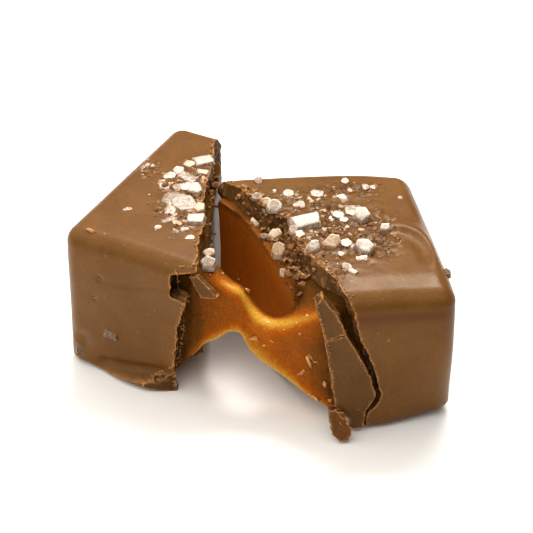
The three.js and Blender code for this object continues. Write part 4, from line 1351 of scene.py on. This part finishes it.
# %% The crystals one by one
# Place in the view, (length, width, height) in millimetres, turn on the plan in degrees, the
# share of the height that is sunk, and kind.
CRYSTALS = [
    # on the left half
    (203, 161, (2.0, 1.2, 0.8), 8, 0.2, "white"), (189, 164.5, (1.3, 1.0, 0.7), 15, 0.35, "tan"),
    (202.5, 172, (1.2, 0.7, 0.55), -12, 0.3, "tan"), (179, 171, (1.1, 1.0, 0.7), 0, 0.35, "white"),
    (188, 178, (1.9, 1.0, 0.7), -38, 0.35, "white"), (186, 187, (1.5, 1.2, 0.7), -10, 0.35, "clear"),
    (195, 188, (1.5, 1.3, 0.8), 25, 0.3, "white"), (177, 188, (0.8, 0.7, 0.6), 0, 0.3, "tan"),
    (170, 176, (1.5, 1.0, 0.6), 30, 0.5, "clear"), (166, 186, (1.4, 0.9, 0.5), 0, 0.45, "clear"),
    (175, 200, (2.3, 2.0, 0.8), -25, 0.5, "clear"), (184, 203, (2.4, 2.0, 0.8), -30, 0.45, "white"),
    (171, 211, (1.6, 1.4, 0.6), -50, 0.5, "clear"),
    (199.5, 207.5, (1.2, 1.1, 0.8), 0, 0.3, "tan"), (196.5, 219, (1.8, 1.2, 0.9), 5, 0.25, "white"),
    (169, 220, (1.6, 0.7, 0.4), 25, 0.55, "clear"), (174.5, 231.5, (0.8, 0.5, 0.4), -20, 0.4, "clear"),
    (157.8, 228, (0.7, 0.6, 0.5), 0, 0.55, "clear"), (184, 230, (0.8, 0.5, 0.4), 10, 0.5, "clear"),
    (190, 238, (1.0, 0.7, 0.4), 20, 0.6, "clear"), (161, 182, (0.9, 0.5, 0.4), 10, 0.55, "clear"),
    (127.5, 211.5, (1.3, 1.0, 0.6), 10, 0.7, "brown"), (147.5, 165, (0.6, 0.5, 0.4), 0, 0.6, "brown"),
    (208, 263, (1.5, 1.2, 1.3), -10, 0.15, "white"), (209, 253, (1.1, 0.8, 0.7), 20, 0.2, "tan"),
    # in its front wall
    (112, 332, (1.3, 0.6, 1.5), -28, 0.6, "brown"), (82, 345, (1.3, 1.2, 2.3), -28, 0.6, "brown"),
    (99.5, 278, (0.5, 0.3, 0.6), -28, 0.6, "brown"),
    # on the right half
    (257, 197, (1.1, 0.8, 0.7), -20, 0.2, "clear"), (266, 201, (1.1, 0.8, 0.7), 10, 0.2, "tan"),
    (274.5, 206, (1.4, 1.1, 1.2), 0, 0.15, "white"), (305.5, 221.5, (2.8, 1.35, 1.2), 18, 0.2, "white"),
    (293.5, 230, (0.8, 0.7, 0.9), 0, 0.2, "white"), (299, 235, (1.2, 0.9, 0.7), 20, 0.25, "clear"),
    (313.5, 246, (1.6, 1.1, 1.05), 15, 0.2, "white"), (332, 242, (1.8, 1.35, 1.25), 20, 0.2, "tan"),
    (338, 215, (1.3, 0.9, 0.6), -25, 0.4, "clear"), (331, 219, (1.0, 0.8, 0.6), 20, 0.45, "clear"),
    (344, 220, (0.9, 0.7, 0.5), 0, 0.5, "clear"), (354, 211, (2.2, 1.7, 0.75), -42, 0.3, "clear"),
    (362, 215, (1.7, 1.45, 1.25), -48, 0.15, "white"), (365, 246.5, (1.8, 1.3, 1.2), -35, 0.2, "white"),
    (363, 258.5, (1.2, 0.6, 0.45), 5, 0.4, "clear"), (347, 267, (1.0, 0.7, 0.6), -40, 0.3, "white"),
    (353.5, 272, (0.9, 0.6, 0.5), -30, 0.35, "clear"), (258.5, 181, (0.9, 0.9, 0.75), 0, 0.35, "brown"),
    (274.5, 191, (0.35, 0.3, 0.3), 0, 0.3, "white"), (288.5, 193.5, (1.1, 0.8, 0.6), 0, 0.5, "clear"),
    (299.5, 205.5, (1.2, 0.9, 0.6), 20, 0.45, "brown"), (317, 193.5, (1.5, 1.1, 0.6), 0, 0.5, "brown"),
    (345, 181.5, (0.7, 0.6, 0.5), 0, 0.35, "clear"), (341.5, 198, (1.2, 0.9, 0.6), -30, 0.45, "clear"),
    (365.5, 188, (0.8, 0.6, 0.5), 40, 0.35, "brown"), (385, 227, (1.1, 0.8, 0.7), 20, 0.25, "white"),
    (346, 243.5, (1.0, 0.9, 0.6), 0, 0.5, "brown"), (372, 188, (0.6, 0.5, 0.4), 0, 0.5, "brown"),
    (400, 198, (0.6, 0.5, 0.4), 0, 0.5, "brown"), (341, 254, (0.7, 0.6, 0.4), 0, 0.5, "brown"),
    (446, 273, (0.9, 0.8, 0.9), 0, 0.5, "brown"),
    # on the caramel's shelf
    (275, 234.5, (1.4, 1.1, 1.1), 20, 0.1, "tan"), (278.5, 250.5, (1.2, 1.1, 1.5), 60, 0.1, "tan"),
    (264, 237, (0.8, 0.6, 0.6), 0, 0.1, "brown"), (255, 222, (0.9, 0.5, 0.7), -50, 0.1, "tan"),
    (283, 272, (0.8, 0.6, 0.7), -50, 0.1, "clear"),
]
draw = random.Random(5)
heaps = {kind: bmesh.new() for kind in salt}
for x, y, size, turn, sunk, kind in CRYSTALS:
    middle, _ = seen_at(x, y, rise=(0.5 - sunk) * size[2])
    corners = 4 if size[0] > 1.5 * size[1] else draw.choice((5, 5, 6, 7))
    crystal(heaps[kind], middle, size, turn, corners, draw)
for kind, heap in heaps.items():
    crystals = loose_piece("salt_" + kind + "_crystals", heap, salt[kind])
    measure_edges(crystals, low=0.16, high=0.4, spread=0)

# %% [markdown]
# ## Crumbs
#
# Broken chocolate sheds crumbs. They lie thickest where the break passed, on the
# caramel's shelf at the back and along the edges, and among the salt. A crumb is too
# small to need more than the hull of a few points. It is made at the size of a unit and
# then made small, because the hull of points that lie very close together can fail.


# %% A crumb and a lump
CRUMB_POINTS, LUMP_POINTS = 9, 10
LUMP_STEPS = 4
LUMP_GRAIN = [(0.5, 0.3), (0.2, 0.12)]


def wrap(own):
    """Keeps the hull of what is in a bmesh."""
    hull = bmesh.ops.convex_hull(own, input=own.verts)
    inside = [g for g in hull["geom_interior"] if isinstance(g, bmesh.types.BMVert)]
    bmesh.ops.delete(own, geom=inside, context="VERTS")
    bmesh.ops.recalc_face_normals(own, faces=own.faces)


def crumb(bm, middle, size, draw, flatness=0.6, turned=True):
    """Adds the hull of a few points; size is how wide it is, in millimetres."""
    turn = Matrix.Rotation(draw.uniform(0, 6.28), 4, "Z") @ Matrix.Rotation(draw.uniform(-0.9, 0.9), 4, "X")
    own = bmesh.new()
    for _ in range(CRUMB_POINTS):
        point = Vector([draw.uniform(-1, 1) for _ in range(3)]).normalized() * draw.uniform(0.6, 1.0)
        own.verts.new((point.x, point.y * draw.uniform(0.5, 0.9), point.z * flatness))
    wrap(own)
    place = Matrix.Translation(middle) @ turn if turned else Matrix.Translation(middle)
    add_from(own, bm, place @ Matrix.Scale(size / 2 * MM, 4))


def lump(bm, middle, size, draw):
    """A craggy piece of broken chocolate: a hull on a finer grid, roughened."""
    own = bmesh.new()
    for _ in range(LUMP_POINTS):
        point = Vector([draw.uniform(-1, 1) for _ in range(3)]).normalized() * draw.uniform(0.7, 1.0)
        own.verts.new((point.x, point.y * 0.8, point.z * 0.75))
    wrap(own)
    bmesh.ops.subdivide_edges(own, edges=own.edges, cuts=LUMP_STEPS, use_grid_fill=True)
    seed = draw.uniform(0, 50)
    for vert in own.verts:
        vert.co *= sum((rise * rough(*vert.co, spacing, seed) for spacing, rise in LUMP_GRAIN), 1)
    add_from(own, bm, Matrix.Translation(middle) @ Matrix.Rotation(draw.uniform(0, 6.28), 4, "Z")
             @ Matrix.Scale(size / 2 * MM, 4))


# %% The ways crumbs are strewn
HALVES = ((LEFT_CRAGS, LEFT_BREAK, on_left), (RIGHT_CRAGS, RIGHT_BREAK, on_right))
STREWN_FROM, STREWN_TO = 1, (23, 21)
ABOVE_ALL = 30
LEVEL_ENOUGH = 0.3


def drawn_size(draw, smallest, largest, power):
    """A size in millimetres; the higher the power, the more of them are small."""
    return lerp(smallest, largest, draw.random() ** power)


def drop(bm, plan, size, draw, sunk=0.25, flatness=0.6):
    """Lets a crumb rest below a place on the plan, given in the maker's millimetres."""
    point, normal = below(ON_TABLE @ Vector((*plan, ABOVE_ALL)))
    if point is not None and normal.z > LEVEL_ENOUGH:
        rise = (0.5 - sunk) * 0.6 * size * MM
        crumb(bm, point + Vector((0, 0, rise)), size, draw, flatness)


def strew_on_tops(bm, count, off_break, sizes, draw, **shape):
    """Strews crumbs on both tops, more where they are craggy, and all some way off the break."""
    for crags, part, on_half in HALVES:
        strewn = 0
        while strewn < count:
            u, v = [draw.uniform(STREWN_FROM, end) for end in STREWN_TO]
            if draw.random() >= crag_share(u, v, crags):
                continue
            if (profile(part["top"], v) - u) * part["side"] > off_break:
                drop(bm, on_half(u, v), drawn_size(draw, *sizes), draw, **shape)
                strewn += 1


# %% Crumbs on the shelf
# The shelf lies between the caramel's rim and the break, as pairs of places on the plan.
SHELF_COUNT = 260
SHELF = [((-3.9, 0.4), (-1.3, -0.6)), ((-2.6, -2.6), (0.6, -3.4)), ((-0.8, -6.4), (2.4, -5.9)),
         ((0.6, -9.4), (3.0, -9.3)), ((1.9, -11.7), (4.0, -11.2)), ((2.9, -13.0), (4.9, -13.4))]
draw = random.Random(21)
heap = bmesh.new()
for _ in range(SHELF_COUNT):
    along = draw.uniform(0, len(SHELF) - 1.001)
    (rim, torn), (next_rim, next_torn) = SHELF[int(along)], SHELF[int(along) + 1]
    near, far = between(rim, next_rim, along % 1), between(torn, next_torn, along % 1)
    across = draw.uniform(0.12, 1.0) ** 0.7
    size = drawn_size(draw, 0.25, 1.0, 2.2)
    drop(heap, between(near, far, across), size, draw, sunk=0.1)
shelf_crumbs = loose_piece("shelf_crumbs", heap, crumbly)

# %% Lumps of broken chocolate
# Place in the view, and size in millimetres.
LUMPS = [
    # in the heap on the shelf
    (271, 222, 0.9), (266, 229, 0.7), (283, 226, 1.0), (290, 233, 0.9), (285, 240, 1.1), (293, 246, 1.3),
    (300, 250, 1.2), (297, 256, 0.9), (288, 253, 0.9), (283, 262, 0.9), (291, 265, 1.0), (298, 262, 0.8),
    (290, 275, 1.3), (297, 279, 1.4), (303, 285, 1.0), (295, 288, 1.2), (301, 294, 1.0), (296, 299, 0.8),
    (287, 283, 0.7), (306, 276, 0.9), (262, 214, 0.7), (278, 216, 0.8), (257, 209, 0.6),
    # among the salt and along the break on the left half
    (209, 181, 0.9), (214, 187, 1.3), (217, 180, 0.9), (211, 193, 0.8), (206, 188, 0.7), (165, 186, 1.1),
    (172, 187.5, 0.9), (176, 184, 0.6), (213, 199, 0.7), (216, 206, 0.6), (213, 233, 0.7), (211, 240, 0.7),
    (210, 246, 0.6), (207, 237, 0.5),
    # on the right half
    (296, 239, 0.9), (302, 242, 0.7), (324, 254, 0.8), (330, 231, 0.7), (337, 234, 0.8), (342, 229, 0.6),
]
draw = random.Random(25)
heap = bmesh.new()
for x, y, size in LUMPS:
    point, normal = seen_at(x, y)
    lump(heap, point + normal * 0.15 * size * MM, size, draw)
lumps = loose_piece("lumps", heap, crumbly)

# %% Crumbs along the breaks and among the salt
BREAK_COUNT, TOP_COUNT = 150, 260
draw = random.Random(22)
heap = bmesh.new()
for _, part, on_half in HALVES:
    for _ in range(BREAK_COUNT):
        v = draw.uniform(0.5, 21)
        inward = -part["side"] * abs(draw.gauss(0.05, 0.28))
        drop(heap, on_half(profile(part["top"], v) + inward, v), drawn_size(draw, 0.12, 0.5, 3), draw)
strew_on_tops(heap, TOP_COUNT, 0.3, (0.1, 0.45, 2.5), draw)
loose_crumbs = loose_piece("loose_crumbs", heap, crumbly)
for obj in (shelf_crumbs, loose_crumbs, lumps):
    measure_edges(obj, low=0.25, high=0.9, spread=0)

# %% Fine salt between the crystals
FINE_COUNT = 140
draw = random.Random(23)
heap = bmesh.new()
strew_on_tops(heap, FINE_COUNT, 0.2, (0.12, 0.6, 2), draw, sunk=0.45, flatness=0.8)
loose_piece("fine_salt", heap, salt["tan"])

# %% Crumbs along the torn edges
# Lines in the view, how many crumbs lie along each, and how far to its side they spread.
TORN_EDGES = [
    ([(189, 296), (182, 312), (183, 332), (180, 351), (178, 363)], 90, 2.2),
    ([(176, 270), (178, 281), (179, 290)], 26, 1.0),
    ([(180, 291), (189, 297)], 18, 1.2),
    ([(230, 182), (262, 198), (290, 216)], 16, 1.0),
    ([(303, 243), (322, 262), (345, 290), (352, 302)], 50, 1.5),
    ([(214, 152), (213, 176), (211, 200), (208, 232)], 40, 2.0),
    ([(200, 262), (190, 266), (178, 267)], 24, 1.2),
    ([(313, 294), (322, 322), (330, 352), (335, 385)], 30, 1.0),
    ([(152, 376), (166, 369), (177, 366)], 30, 1.2),
]
draw = random.Random(26)
heap = bmesh.new()
for line, count, spread in TORN_EDGES:
    for _ in range(count):
        along = draw.uniform(0, len(line) - 1.001)
        (x0, y0), (x1, y1) = line[int(along)], line[int(along) + 1]
        x, y = [lerp(a, b, along % 1) + draw.gauss(0, spread / 2) for a, b in ((x0, x1), (y0, y1))]
        point, normal = seen_at(x, y)
        if point is not None:
            crumb(heap, point + normal * 0.04 * MM, drawn_size(draw, 0.15, 0.5, 2), draw)
edge_crumbs = loose_piece("edge_crumbs", heap, crumbly)

# %% Crumbs and chips on the strand and the walls
# Place in the view, length and width in millimetres, and turn on the surface in degrees.
CHIP_SHAPE = (1.5, 2, 1.8)
CHIPS = [
    (254, 338, 1.4, 0.7, 35), (264, 345.5, 0.6, 0.4, 20), (271.5, 340.5, 0.6, 0.3, 10),
    (309, 361, 2.1, 0.5, -75), (311, 357, 1.2, 0.35, -80), (302, 372, 1.1, 0.4, 50),
    (316, 398, 1.3, 0.5, -40), (246, 291, 1.1, 0.6, -50), (222, 273.5, 0.4, 0.3, 0),
    (211, 275, 0.4, 0.3, 0), (239, 279, 0.3, 0.25, 0), (91, 231, 0.9, 0.6, 10),
    (297, 323, 0.3, 0.2, 0), (327, 262, 0.3, 0.3, 0), (284, 330, 0.3, 0.2, 0),
    (308, 316, 0.4, 0.3, 0), (316, 362, 0.5, 0.3, 0), (300, 334, 0.25, 0.2, 0),
    (325, 384, 0.7, 0.4, -60), (331, 400, 0.6, 0.4, 0), (95, 298, 0.25, 0.25, 0),
    (338, 413, 1.0, 0.12, -50), (343, 419, 0.9, 0.1, -45), (341, 424, 0.7, 0.08, -60),
    (347, 424, 0.5, 0.08, -40),
]
draw = random.Random(24)
heap = bmesh.new()
for x, y, length, width, turn in CHIPS:
    point, normal = seen_at(x, y)
    lie = normal.to_track_quat("Z", "Y").to_matrix().to_4x4() @ Matrix.Rotation(math.radians(turn), 4, "Z")
    chip = bmesh.new()
    crumb(chip, Vector((0, 0, 0)), 1, draw, flatness=0.35, turned=False)
    sides = [share * side for share, side in zip(CHIP_SHAPE, (length, width, width))]
    above = Matrix.Translation(point + normal * 0.2 * width * MM)
    add_from(chip, heap, above @ lie @ Matrix.Diagonal((*sides, 1)))
chips = loose_piece("chips", heap, flaky)
for obj in (edge_crumbs, chips):
    measure_edges(obj, low=0.2, high=0.7, spread=0)
